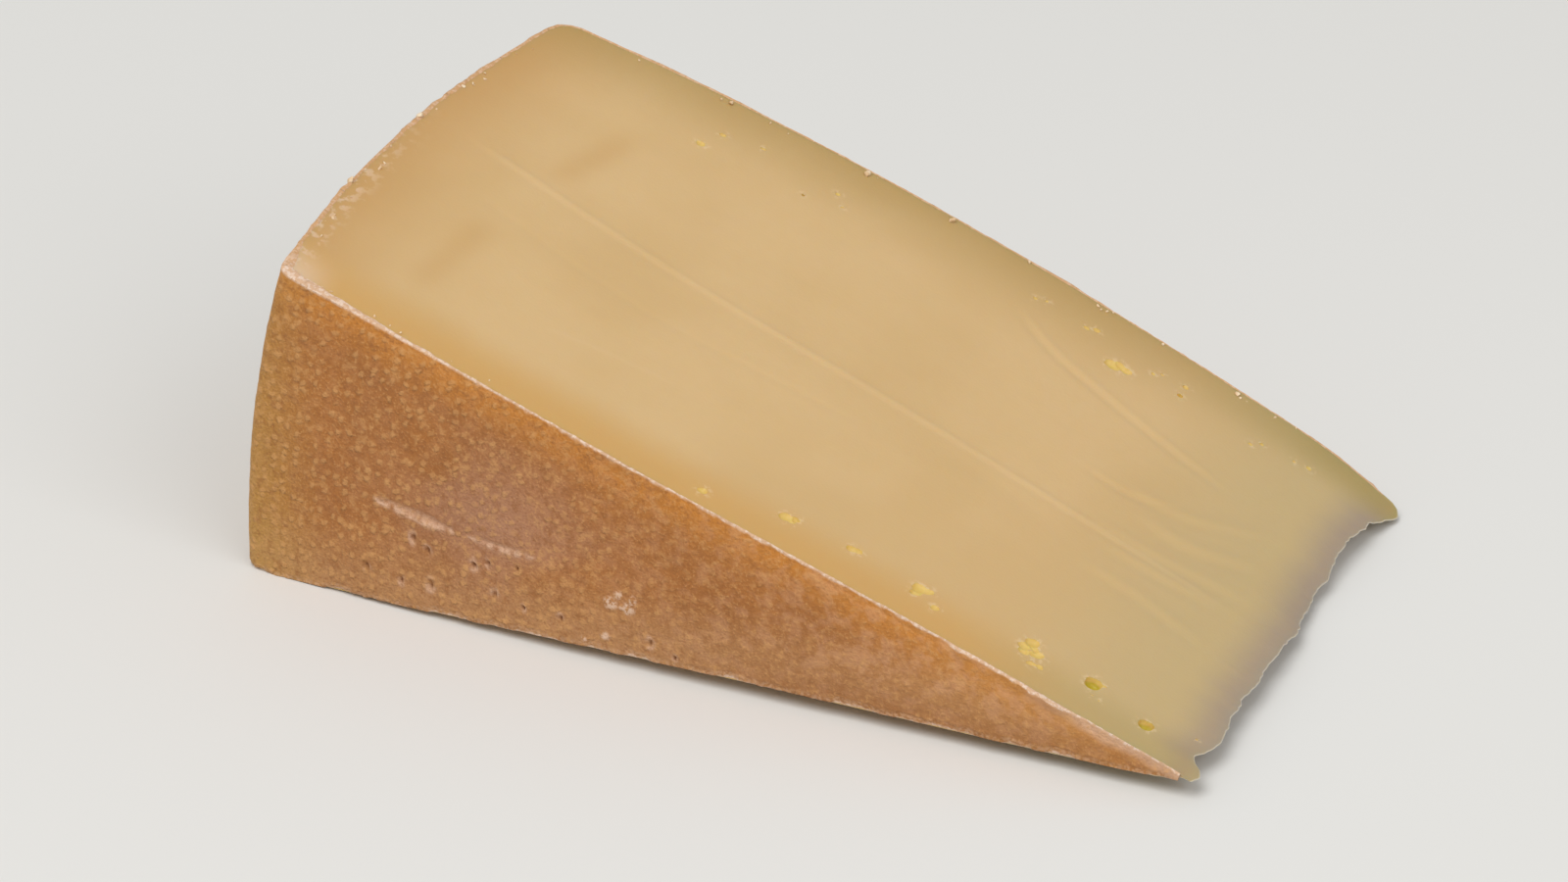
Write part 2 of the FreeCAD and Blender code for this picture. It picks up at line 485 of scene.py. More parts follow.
EYE_GROUPS = (
    EyeGroup(0.27, 0.83, size=1.7), EyeGroup(0.28, 0.88), EyeGroup(0.32, 0.90, size=0.8, depth=0.3),
    EyeGroup(0.38, 0.84, size=0.8, depth=0.7), EyeGroup(0.41, 0.87, 2, 2.2, 0.8, 0.3),
    EyeGroup(0.62, 0.92, 2, 1.4, 0.9, 0.3), EyeGroup(0.68, 0.92, 2, 1.2, 1.2),
    EyeGroup(0.72, 0.87, 3, 1.3, 2.4, 0.6), EyeGroup(0.75, 0.91, 2, 1.2, 0.8, 0.3),
    EyeGroup(0.78, 0.89, size=1.2, depth=0.8), EyeGroup(0.78, 0.92, size=1.0),
    EyeGroup(0.86, 0.89, 2, 1.4, 0.9, 0.25), EyeGroup(0.91, 0.91, 2, 1.8, 0.9, 0.3),
    EyeGroup(0.50, 0.04, size=1.6), EyeGroup(0.58, 0.08, 3, 0.9, 1.9, 0.55),
    EyeGroup(0.64, 0.09, 2, 0.8, 1.6, 0.55), EyeGroup(0.71, 0.08, 3, 1.2, 2.2, 0.55),
    EyeGroup(0.73, 0.06, size=1.3), EyeGroup(0.82, 0.09, 5, 1.6, 2.0, 0.55),
    EyeGroup(0.83, 0.06, 2, 0.8, 1.3, 0.4), EyeGroup(0.88, 0.09, 2, 0.6, 2.4, 1.4),
    EyeGroup(0.89, 0.10, size=0.8, depth=0.4), EyeGroup(0.89, 0.06, 2, 1.0, 0.6, 0.25),
    EyeGroup(0.94, 0.07, 2, 0.5, 2.0, 1.3), EyeGroup(0.98, 0.10, size=0.8, depth=0.3),
)


@dataclass(frozen=True)
class CutFace:
    """The wedge's upper cut with its marks."""

    form: WedgeForm
    ripple: Lattice = Lattice(11)
    eye_seed: int = 17

    def eyes(self) -> list[Eye]:
        """Return every small hole."""
        draw = np.random.default_rng(self.eye_seed)
        return [eye for group in EYE_GROUPS for eye in group.eyes(self.form, draw)]

    def relief(self, x: Array, y: Array) -> Array:
        """Return how far the cut's surface stands proud of its plain form, in millimetres.

        Args:
            x: place along the wedge, from the wheel's axis.
            y: place across the wedge.

        Returns:
            One height a point.
        """
        distance = x + self.form.radius
        total = np.zeros(len(x))
        for stroke in RELIEF:
            total += stroke.height(self.form, distance, y)
        flat = flat_points(distance, y)
        total += 0.05 * self.ripple.at(flat, 17.0)
        total += 0.02 * self.ripple.at(flat * (0.25, 1.0, 1.0), 1.9)
        return total

    def height(self, x: Array, y: Array) -> Array:
        """Return the height of the cut's surface above the floor."""
        return self.form.upper(x, y) + self.relief(x, y)

    def lines(self, strokes: tuple[Stroke, ...], x: Array, y: Array) -> Array:
        """Return 1 on any of the marks, falling to 0 beside them."""
        distance = x + self.form.radius
        masks = [stroke.mask(self.form, distance, y) for stroke in strokes]
        return np.max(masks, axis=0)


# ----------------------------------------------------------------------
# Mesh tools


class Place:
    """Carries points between the form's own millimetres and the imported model's frame in metres."""

    def __init__(self, form: WedgeForm) -> None:
        """Find the frame's place of the form's origin, in millimetres."""
        low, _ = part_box(NODE)
        foremost = form.radius + form.rim_bulge
        self.shift = np.array([low[0] / MM + foremost, low[1] / MM, low[2] / MM])

    def to_frame(self, points: Array) -> Array:
        """Return the form's points in the frame, in metres."""
        return (points + self.shift) * MM

    def from_frame(self, points: Array) -> Array:
        """Return the frame's points in the form's millimetres."""
        return points / MM - self.shift


def clear_selection() -> None:
    """Leave nothing selected, so that an operator acts on the new piece alone."""
    if bpy.context.mode != "OBJECT":
        bpy.ops.object.mode_set(mode="OBJECT")
    bpy.ops.object.select_all(action="DESELECT")


def named(name: str) -> Piece:
    """Name the active object and its mesh, and return it."""
    piece = bpy.context.active_object
    piece.name = name
    piece.data.name = name
    return piece


def points_of(piece: Piece) -> Array:
    """Return the mesh's points, one row each."""
    flat = np.empty(3 * len(piece.data.vertices))
    piece.data.vertices.foreach_get("co", flat)
    return flat.reshape(-1, 3)


def set_points(piece: Piece, points: Array) -> None:
    """Move the mesh's points."""
    piece.data.vertices.foreach_set("co", points.ravel())
    piece.data.update()


def set_values(piece: Piece, name: str, values: Array) -> None:
    """Store one number a point on the mesh, for its material to read."""
    layer = piece.data.attributes.new(name, "FLOAT", "POINT")
    layer.data.foreach_set("value", np.asarray(values, dtype=np.float32))


def apply_modifier(piece: Piece, kind: str, **settings: object) -> None:
    """Give a piece a modifier with the given settings, and apply it."""
    modifier = piece.modifiers.new(kind.lower(), kind)
    for name, value in settings.items():
        setattr(modifier, name, value)
    bpy.context.view_layer.objects.active = piece
    bpy.ops.object.modifier_apply(modifier=modifier.name)


def volume(piece: Piece) -> float:
    """Return a closed piece's volume, from the tetrahedra that its triangles make with the origin."""
    piece.data.calc_loop_triangles()
    triangles = piece.data.loop_triangles
    if not triangles:
        return 0.0
    corners = points_of(piece)[np.array([triangle.vertices[:] for triangle in triangles])]
    return float(np.einsum("ij,ij->i", corners[:, 0], np.cross(corners[:, 1], corners[:, 2])).sum() / 6.0)


def cut(piece: Piece, cutter: Piece, most: float) -> None:
    """Take a cutter's volume out of a piece, and check that the rest of the piece is still there.

    Args:
        piece: the piece to cut.
        cutter: a closed piece that doesn't cross itself; it is removed.
        most: the largest share of the piece's volume that may go.

    Raises:
        RuntimeError: if more than that share has gone, or nothing has.
    """
    whole = volume(piece)
    apply_modifier(piece, "BOOLEAN", operation="DIFFERENCE", solver="EXACT", object=cutter)
    name = cutter.name
    bpy.data.objects.remove(cutter)
    gone = 1.0 - volume(piece) / whole
    log.info("%s: %s took %.4f of its volume", piece.name, name, gone)
    if not 0.0 < gone < most:
        raise RuntimeError(f"{name} took {gone:.4f} of {piece.name}")


def drop_flaps(piece: Piece) -> None:
    """Make a piece's faces triangles, and remove those that lie back to back on the same three corners."""
    shape = bmesh.new()
    shape.from_mesh(piece.data)
    bmesh.ops.remove_doubles(shape, verts=shape.verts, dist=1e-8)
    bmesh.ops.triangulate(shape, faces=shape.faces)
    sharing: dict[frozenset, list[bmesh.types.BMFace]] = {}
    for face in shape.faces:
        sharing.setdefault(frozenset(face.verts), []).append(face)
    flaps = [face for faces in sharing.values() if len(faces) > 1 for face in faces]
    log.info("%s: %d faces lay back to back", piece.name, len(flaps))
    bmesh.ops.delete(shape, geom=flaps, context="FACES")
    shape.to_mesh(piece.data)
    shape.free()


def finish_piece(piece: Piece, material: bpy.types.Material, angle: float = 50.0) -> None:
    """Smooth a piece, give it its material, and let it ride on the wedge's body."""
    clear_selection()
    piece.select_set(True)
    bpy.context.view_layer.objects.active = piece
    bpy.ops.object.shade_smooth_by_angle(angle=math.radians(angle))
    piece.data.materials.clear()
    piece.data.materials.append(material)
    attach(piece, BODY)
    piece.data.calc_loop_triangles()
    counts = len(piece.data.vertices), len(piece.data.loop_triangles)
    log.info("%s: %d points, %d triangles", piece.name, *counts)


@dataclass(frozen=True)
class Ball:
    """A stretched and turned ball, in the form's millimetres: middle, half sizes, and turns in radians."""

    centre: Array
    size: Array
    turn: Array

    def placed(self, unit: Array) -> Array:
        """Return a unit ball's points as this ball's."""
        a, b, c = self.turn
        about_x = np.array([[1, 0, 0], [0, math.cos(a), -math.sin(a)], [0, math.sin(a), math.cos(a)]])
        about_y = np.array([[math.cos(b), 0, math.sin(b)], [0, 1, 0], [-math.sin(b), 0, math.cos(b)]])
        about_z = np.array([[math.cos(c), -math.sin(c), 0], [math.sin(c), math.cos(c), 0], [0, 0, 1]])
        return (unit * self.size) @ (about_y @ about_z @ about_x).T + self.centre


def joined_balls(balls: list[Ball], name: str, detail: int) -> Piece:
    """Add one ball, and repeat it in its own mesh at every place.

    Args:
        balls: where the balls lie.
        name: the new piece's name.
        detail: subdivisions of a ball.

    Returns:
        The piece, whose points are still in the form's millimetres.
    """
    clear_selection()
    bpy.ops.mesh.primitive_ico_sphere_add(subdivisions=detail, radius=1.0)
    piece = named(name)
    unit = points_of(piece)
    corners = np.array([face.vertices[:] for face in piece.data.polygons])
    points = np.concatenate([ball.placed(unit) for ball in balls])
    faces = np.concatenate([corners + len(unit) * index for index in range(len(balls))])
    piece.data.clear_geometry()
    piece.data.from_pydata(points.tolist(), [], faces.tolist())
    return piece


# ----------------------------------------------------------------------
# Node tools


class Graph:
    """Adds and links the nodes of one node tree."""

    def __init__(self, tree: bpy.types.NodeTree) -> None:
        """Keep the tree that the nodes go into."""
        self.tree = tree

    def put(self, socket: Socket, value: object) -> None:
        """Link a socket to another, or set its value."""
        if isinstance(value, Socket):
            self.tree.links.new(value, socket)
        else:
            socket.default_value = value

    def node(self, kind: str, inputs: dict[str | int, object] | None = None, **settings: object) -> Node:
        """Add a node.

        Args:
            kind: the node's type.
            inputs: values or sockets for its inputs, by name or number.
            **settings: values for its own properties.

        Returns:
            The new node.
        """
        made = self.tree.nodes.new(kind)
        for name, value in settings.items():
            setattr(made, name, value)
        self.fill(made, inputs or {})
        return made

    def fill(self, node: Node, inputs: dict[str | int, object]) -> None:
        """Link or set several inputs of a node, by name or number."""
        for name, value in inputs.items():
            self.put(node.inputs[name], value)

    def value(self, name: str) -> Socket:
        """Return the number that the mesh stores under a name."""
        return self.node("ShaderNodeAttribute", attribute_name=name).outputs["Fac"]

    def vector(self, name: str) -> Socket:
        """Return the vector that the mesh stores under a name."""
        return self.node("ShaderNodeAttribute", attribute_name=name).outputs["Vector"]

    def coordinates(self) -> Socket:
        """Return the place on the object, in metres."""
        return self.node("ShaderNodeTexCoord").outputs["Object"]

    def noise(self, vector: object, grain: float, detail: float = 3.0, roughness: float = 0.55) -> Socket:
        """Return noise whose blotches are about grain metres across."""
        inputs = {"Vector": vector, "Scale": 1.0 / grain, "Detail": detail, "Roughness": roughness}
        return self.node("ShaderNodeTexNoise", inputs).outputs[0]

    def ramp(self, value: object, start: float, end: float, low: float = 0.0, high: float = 1.0) -> Socket:
        """Return low before start, high after end, and a smooth change between them."""
        if start > end:
            start, end, low, high = end, start, high, low
        inputs = {"Value": value, "From Min": start, "From Max": end, "To Min": low, "To Max": high}
        return self.node("ShaderNodeMapRange", inputs, interpolation_type="SMOOTHSTEP", clamp=True).outputs[0]

    def fade(self, name: str, start: float, end: float, low: float = 0.0, high: float = 1.0) -> Socket:
        """Return a smooth change over the number that the mesh stores under a name."""
        return self.ramp(self.value(name), start, end, low, high)

    def bump(self, height: object, strength: float, distance: float, **under: object) -> Socket:
        """Return a normal tilted by a height, over the one given as Normal, if any."""
        inputs = {"Height": height, "Strength": strength, "Distance": distance, **under}
        return self.node("ShaderNodeBump", inputs).outputs[0]

    def math(self, operation: str, first: object, second: object = 0.0) -> Socket:
        """Return the result of a sum on two numbers."""
        return self.node("ShaderNodeMath", {0: first, 1: second}, operation=operation).outputs[0]

    def times(self, *values: object) -> Socket:
        """Return the product of several numbers."""
        result = values[0]
        for value in values[1:]:
            result = self.math("MULTIPLY", result, value)
        return result

    def colour(self, factor: object, first: object, second: object) -> Socket:
        """Return a mix of two colours."""
        inputs = {0: factor, 6: first, 7: second}
        return self.node("ShaderNodeMix", inputs, data_type="RGBA", clamp_factor=True).outputs[2]

    def layers(self, tone: object, *layers: tuple[object, object]) -> Socket:
        """Return a colour with others laid over it, each by its own factor."""
        for factor, colour in layers:
            tone = self.colour(factor, tone, colour)
        return tone


def grain_group() -> bpy.types.ShaderNodeTree:
    """Return the node group for the grain that every surface of the cheese shares.

    Returns:
        A group that takes a place and two grain sizes, and puts out a height and a mask of blotches.
    """
    tree = bpy.data.node_groups.new("cheese_grain", "ShaderNodeTree")
    tree.interface.new_socket("Place", in_out="INPUT", socket_type="NodeSocketVector")
    for name in ("Coarse", "Fine", "Balance"):
        tree.interface.new_socket(name, in_out="INPUT", socket_type="NodeSocketFloat")
    for name in ("Height", "Blotch"):
        tree.interface.new_socket(name, in_out="OUTPUT", socket_type="NodeSocketFloat")
    graph = Graph(tree)
    given = graph.node("NodeGroupInput").outputs
    coarse, fine = (
        graph.node("ShaderNodeTexNoise", {"Vector": given["Place"], "Scale": given[name], "Detail": detail})
        for name, detail in (("Coarse", 4.0), ("Fine", 3.0))
    )
    blend = graph.node("ShaderNodeMix", {0: given["Balance"], 2: coarse.outputs[0], 3: fine.outputs[0]},
                       data_type="FLOAT")
    graph.node("NodeGroupOutput", {"Height": blend.outputs[0],
                                   "Blotch": graph.ramp(coarse.outputs[0], 0.35, 0.65)})
    return tree


class Finish:
    """What every finish shares: a material with one Principled shader."""

    name = "plain"

    def start(self) -> tuple[bpy.types.Material, Graph, Node]:
        """Return a new material, its graph and its Principled shader."""
        material = bpy.data.materials.new(self.name)
        material.use_nodes = True
        tree = material.node_tree
        return material, Graph(tree), tree.nodes["Principled BSDF"]

    def grain(self, graph: Graph, coarse: float, fine: float, balance: float) -> Node:
        """Return the shared grain group, with the sizes of its grains in metres."""
        tree = bpy.data.node_groups.get("cheese_grain") or grain_group()
        node = graph.node("ShaderNodeGroup", node_tree=tree)
        graph.fill(node, {"Place": graph.coordinates(), "Coarse": 1.0 / coarse, "Fine": 1.0 / fine,
                          "Balance": balance})
        return node


@dataclass(frozen=True)
class Band:
    """A tone beside an edge: which distance it follows, and in millimetres where its fade starts and ends."""

    distance: str
    start: float
    reach: float
    tone: Colour


@dataclass(frozen=True)
class PasteFinish(Finish):
    """The cut paste: waxy and pale straw, warmer by the rind, darker and greyer towards the thin tip.

    bands are the tones that it takes beside its edges; the last one lies on top.
    """

    name: str = "cheese_paste"
    body: Colour = srgb(211, 178, 128)
    deep: Colour = srgb(206, 172, 120)
    bands: tuple[Band, ...] = (
        Band("rim_mm", -10.0, 22.0, srgb(190, 144, 84)),
        Band("back_mm", -8.0, 18.0, srgb(175, 143, 84)),
        Band("front_mm", 2.0, 11.5, srgb(204, 161, 98)),
        Band("tip_mm", 6.0, 40.0, srgb(195, 170, 122)),
        Band("tip_mm", -4.0, 8.5, srgb(138, 126, 126)),
    )
    corner: Colour = srgb(166, 144, 86)
    pink: Colour = srgb(220, 188, 156)
    ochre: Colour = srgb(198, 158, 102)
    pale: Colour = srgb(226, 200, 160)
    edge: Colour = srgb(214, 200, 178)
    eye: Colour = srgb(220, 189, 98)
    eye_deep: Colour = srgb(190, 168, 36)
    roughness: tuple[float, float] = (0.40, 0.52)

    def edges(self, graph: Graph, tone: object) -> Socket:
        """Return the paste's colour with its tones beside each edge."""
        bands = [(graph.fade(band.distance, band.reach, band.start), band.tone) for band in self.bands]
        near_tip = graph.fade("tip_mm", 42.0, 8.0)
        torn = graph.ramp(graph.noise(graph.coordinates(), 0.0015, 3.0), 0.5, 0.62)
        by_rim = graph.times(graph.fade("rim_mm", 5.0, 1.0), graph.fade("back_mm", 30.0, 60.0))
        in_corner = graph.times(graph.fade("rim_mm", 10.0, 2.0), graph.fade("front_mm", 9.0, 1.0))
        return graph.layers(
            tone,
            *bands,
            (graph.times(near_tip, graph.fade("back_mm", 11.0, 1.0), 0.85), self.corner),
            (graph.times(near_tip, graph.fade("front_mm", 10.0, 2.0), 0.4), self.corner),
            (graph.times(torn, by_rim, 0.7), self.pink),
            (graph.times(in_corner, 0.8), self.pink),
        )

    def tone(self, graph: Graph, blotch: object) -> Socket:
        """Return the paste's colour away from its holes, with a painted highlight along the knife ridge and
        the long scratch.
        """
        broad = graph.ramp(graph.noise(graph.coordinates(), 0.03, 2.0), 0.35, 0.65)
        plain = graph.layers(self.body, (broad, self.deep), (graph.times(blotch, 0.12), self.deep))
        return graph.layers(
            self.edges(graph, plain),
            (graph.times(graph.value("ochre"), 0.5), self.ochre),
            # painted highlight along the knife ridge and the long scratch
            (graph.times(graph.value("painted_ridge_highlight"), 0.09), self.pale),
            (graph.fade("tip_mm", 0.22, 0.05, 0.0, 0.7), self.edge),
        )

    def build(self) -> bpy.types.Material:
        """Return the material."""
        material, graph, shader = self.start()
        grain = self.grain(graph, 0.0022, 0.0005, 0.5)
        place = graph.coordinates()
        fleck = graph.ramp(graph.noise(place, 0.0009, 2.0), 0.5, 0.62)
        tone = graph.layers(
            self.tone(graph, grain.outputs["Blotch"]),
            # pale flecks round the holes: partly the paste's own pale flecks, partly painted glints on the
            # holes' rims
            (graph.times(graph.value("halo"), fleck, 0.45), self.pale),
            (graph.fade("eye_mm", 0.02, 0.15, 0.0, 0.75), self.eye),
            (graph.fade("eye_mm", 0.5, 1.0, 0.0, 0.95), self.eye_deep),
        )
        graph.fill(shader, {
            "Base Color": tone,
            "Roughness": graph.ramp(graph.noise(place, 0.008), 0.3, 0.7, *self.roughness),
            "Subsurface Weight": 0.35,
            "Subsurface Radius": (1.0, 0.6, 0.25),
            "Subsurface Scale": 0.003,
            "Specular IOR Level": 0.35,
            "Normal": graph.bump(grain.outputs["Height"], 0.22, 0.0002),
        })
        return material


@dataclass(frozen=True)
class RindFinish(Finish):
    """The washed rind: orange-brown, mottled, with pale spots and a pale crumbly lip along its cut edge.

    bands are the tones that it takes beside its cut edge and beside the floor.
    """

    name: str = "cheese_rind"
    body: Colour = srgb(173, 110, 51)
    dark: Colour = srgb(148, 92, 44)
    light: Colour = srgb(211, 157, 98)
    pale: Colour = srgb(220, 168, 130)
    glow: Colour = srgb(206, 150, 84)
    bands: tuple[Band, ...] = (
        Band("base_mm", 1.0, 14.0, srgb(180, 132, 86)),
        Band("cut_mm", 0.5, 8.0, srgb(202, 130, 48)),
    )
    olive: Colour = srgb(188, 146, 70)
    bloom: Colour = srgb(178, 131, 104)
    scar_and_highlight: Colour = srgb(218, 176, 146)
    mould: Colour = srgb(218, 182, 154)
    pit: Colour = srgb(124, 76, 42)
    lip: Colour = srgb(204, 158, 112)
    lip_front: Colour = srgb(216, 176, 142)
    lip_white: Colour = srgb(232, 204, 182)

    def skin(self, graph: Graph, blotch: object) -> Socket:
        """Return the rind's colour away from its scars, its painted highlights and its lip, with painted
        shade low on its part towards the tip.
        """
        place = graph.coordinates()
        along = graph.value("along")
        bands = [(graph.fade(band.distance, band.reach, band.start, 0.0, 0.85), band.tone)
                 for band in self.bands]
        mottle = graph.ramp(graph.noise(place, 0.0022, 2.0, 0.5), 0.4, 0.66, 0.05, 1.0)
        # painted shade: the rind's lower part towards the tip is darkened, standing in for the shade under
        # the wedge's curving underside
        shade = graph.times(graph.ramp(along, 0.42, 0.66), graph.fade("base_mm", 7.0, 0.5), 0.55)
        crest = graph.times(graph.ramp(along, 0.82, 0.9), graph.fade("cut_mm", 2.2, 0.6), 0.6)
        calm = graph.ramp(along, 0.35, 0.8, 1.0, 0.35)
        medium = graph.noise(place, 0.0016, 2.0, 0.6)
        fine = graph.noise(place, 0.0004, 2.0, 0.6)
        return graph.layers(
            self.body,
            (graph.ramp(graph.noise(place, 0.012), 0.35, 0.75, 0.0, 0.6), self.dark),
            *bands,
            (graph.ramp(along, 0.11, -0.02, 0.0, 0.75), self.olive),
            (graph.ramp(along, 0.62, 0.95, 0.0, 0.48), self.glow),
            (graph.times(mottle, graph.ramp(along, 0.25, 0.8, 0.08, 0.4)), self.pale),
            # painted shade low on the rind towards the tip
            (shade, self.dark),
            (crest, self.mould),
            (graph.times(graph.value("bloom"), 0.75), self.bloom),
            (graph.times(graph.ramp(medium, 0.5, 0.3, 0.0, 0.45), calm), self.dark),
            (graph.ramp(medium, 0.52, 0.72, 0.0, 0.4), self.light),
            (graph.times(graph.ramp(fine, 0.48, 0.3, 0.0, 0.35), calm), self.dark),
            (graph.ramp(fine, 0.55, 0.72, 0.0, 0.45), self.light),
            (graph.times(blotch, 0.1), self.dark),
        )

    def spots(self, graph: Graph) -> Socket:
        """Return 1 on the rind's small pale spots, which are strongest near the rim."""
        place = graph.vector("skin")
        swing = graph.node("ShaderNodeTexNoise", {"Vector": place, "Scale": 0.8, "Detail": 1.0})
        place = graph.node("ShaderNodeVectorMath", {0: swing.outputs["Color"], 1: (0.9, 0.9, 0.0), 2: place},
                           operation="MULTIPLY_ADD").outputs[0]
        cells = graph.node("ShaderNodeTexVoronoi", {"Vector": place, "Scale": 0.58, "Randomness": 0.9},
                           voronoi_dimensions="2D")
        shades = graph.node("ShaderNodeSeparateColor", {0: cells.outputs["Color"]})
        chance = graph.ramp(shades.outputs[0], 0.1, 0.7)
        spot = graph.ramp(cells.outputs["Distance"], 0.4, 0.14)
        return graph.times(spot, chance, graph.fade("along", 0.62, 0.18, 0.35, 1.0))

    def build(self) -> bpy.types.Material:
        """Return the material."""
        material, graph, shader = self.start()
        grain = self.grain(graph, 0.0014, 0.0004, 0.5)
        spots = self.spots(graph)
        fine = graph.noise(graph.coordinates(), 0.0006, 2.0)
        white = graph.times(graph.ramp(fine, 0.46, 0.6), graph.fade("front_lip", 0.0, 1.0, 0.35, 1.0))
        lip = graph.layers(self.lip, (graph.value("front_lip"), self.lip_front), (white, self.lip_white))
        beads = graph.times(graph.fade("base_mm", 1.1, 0.3), graph.ramp(fine, 0.42, 0.58), 0.35)
        tone = graph.layers(
            self.skin(graph, grain.outputs["Blotch"]),
            (graph.times(spots, 0.5), self.light),
            # pale scraped rind in the gouges, with painted highlights on the gouges' lower lips and round the
            # pits
            (graph.times(graph.value("scar_and_highlight"), graph.ramp(fine, 0.3, 0.6, 0.45, 1.0)), self.scar_and_highlight),
            (graph.times(graph.value("mould"), graph.ramp(fine, 0.42, 0.56)), self.mould),
            (graph.value("pit"), self.pit),
            (beads, self.lip_front),
            (graph.value("lip"), lip),
        )
        domes = graph.bump(spots, 0.5, 0.0003)
        graph.fill(shader, {
            "Base Color": tone,
            "Roughness": 0.62,
            "Specular IOR Level": 0.35,
            "Normal": graph.bump(grain.outputs["Height"], 0.8, 0.0005, Normal=domes),
        })
        return material


@dataclass(frozen=True)
class CrumbFinish(Finish):
    """Loose crumbs and flakes of paste and rind."""

    name: str = "cheese_crumb"
    pale: Colour = srgb(236, 216, 186)
    warm: Colour = srgb(222, 188, 146)

    def build(self) -> bpy.types.Material:
        """Return the material."""
        material, graph, shader = self.start()
        grain = self.grain(graph, 0.0012, 0.0004, 0.5)
        graph.fill(shader, {
            "Base Color": graph.colour(grain.outputs["Blotch"], self.pale, self.warm),
            "Roughness": 0.7,
            "Normal": graph.bump(grain.outputs["Height"], 0.5, 0.0003),
        })
        return material


@dataclass(frozen=True)
class FloorFinish(Finish):
    """A plain pale floor."""

    name: str = "studio_floor"
    pale: Colour = srgb(226, 225, 222)

    def build(self) -> bpy.types.Material:
        """Return the material."""
        material, graph, shader = self.start()
        graph.fill(shader, {"Base Color": self.pale, "Roughness": 0.9, "Specular IOR Level": 0.1})
        return material


# ----------------------------------------------------------------------
# The paste


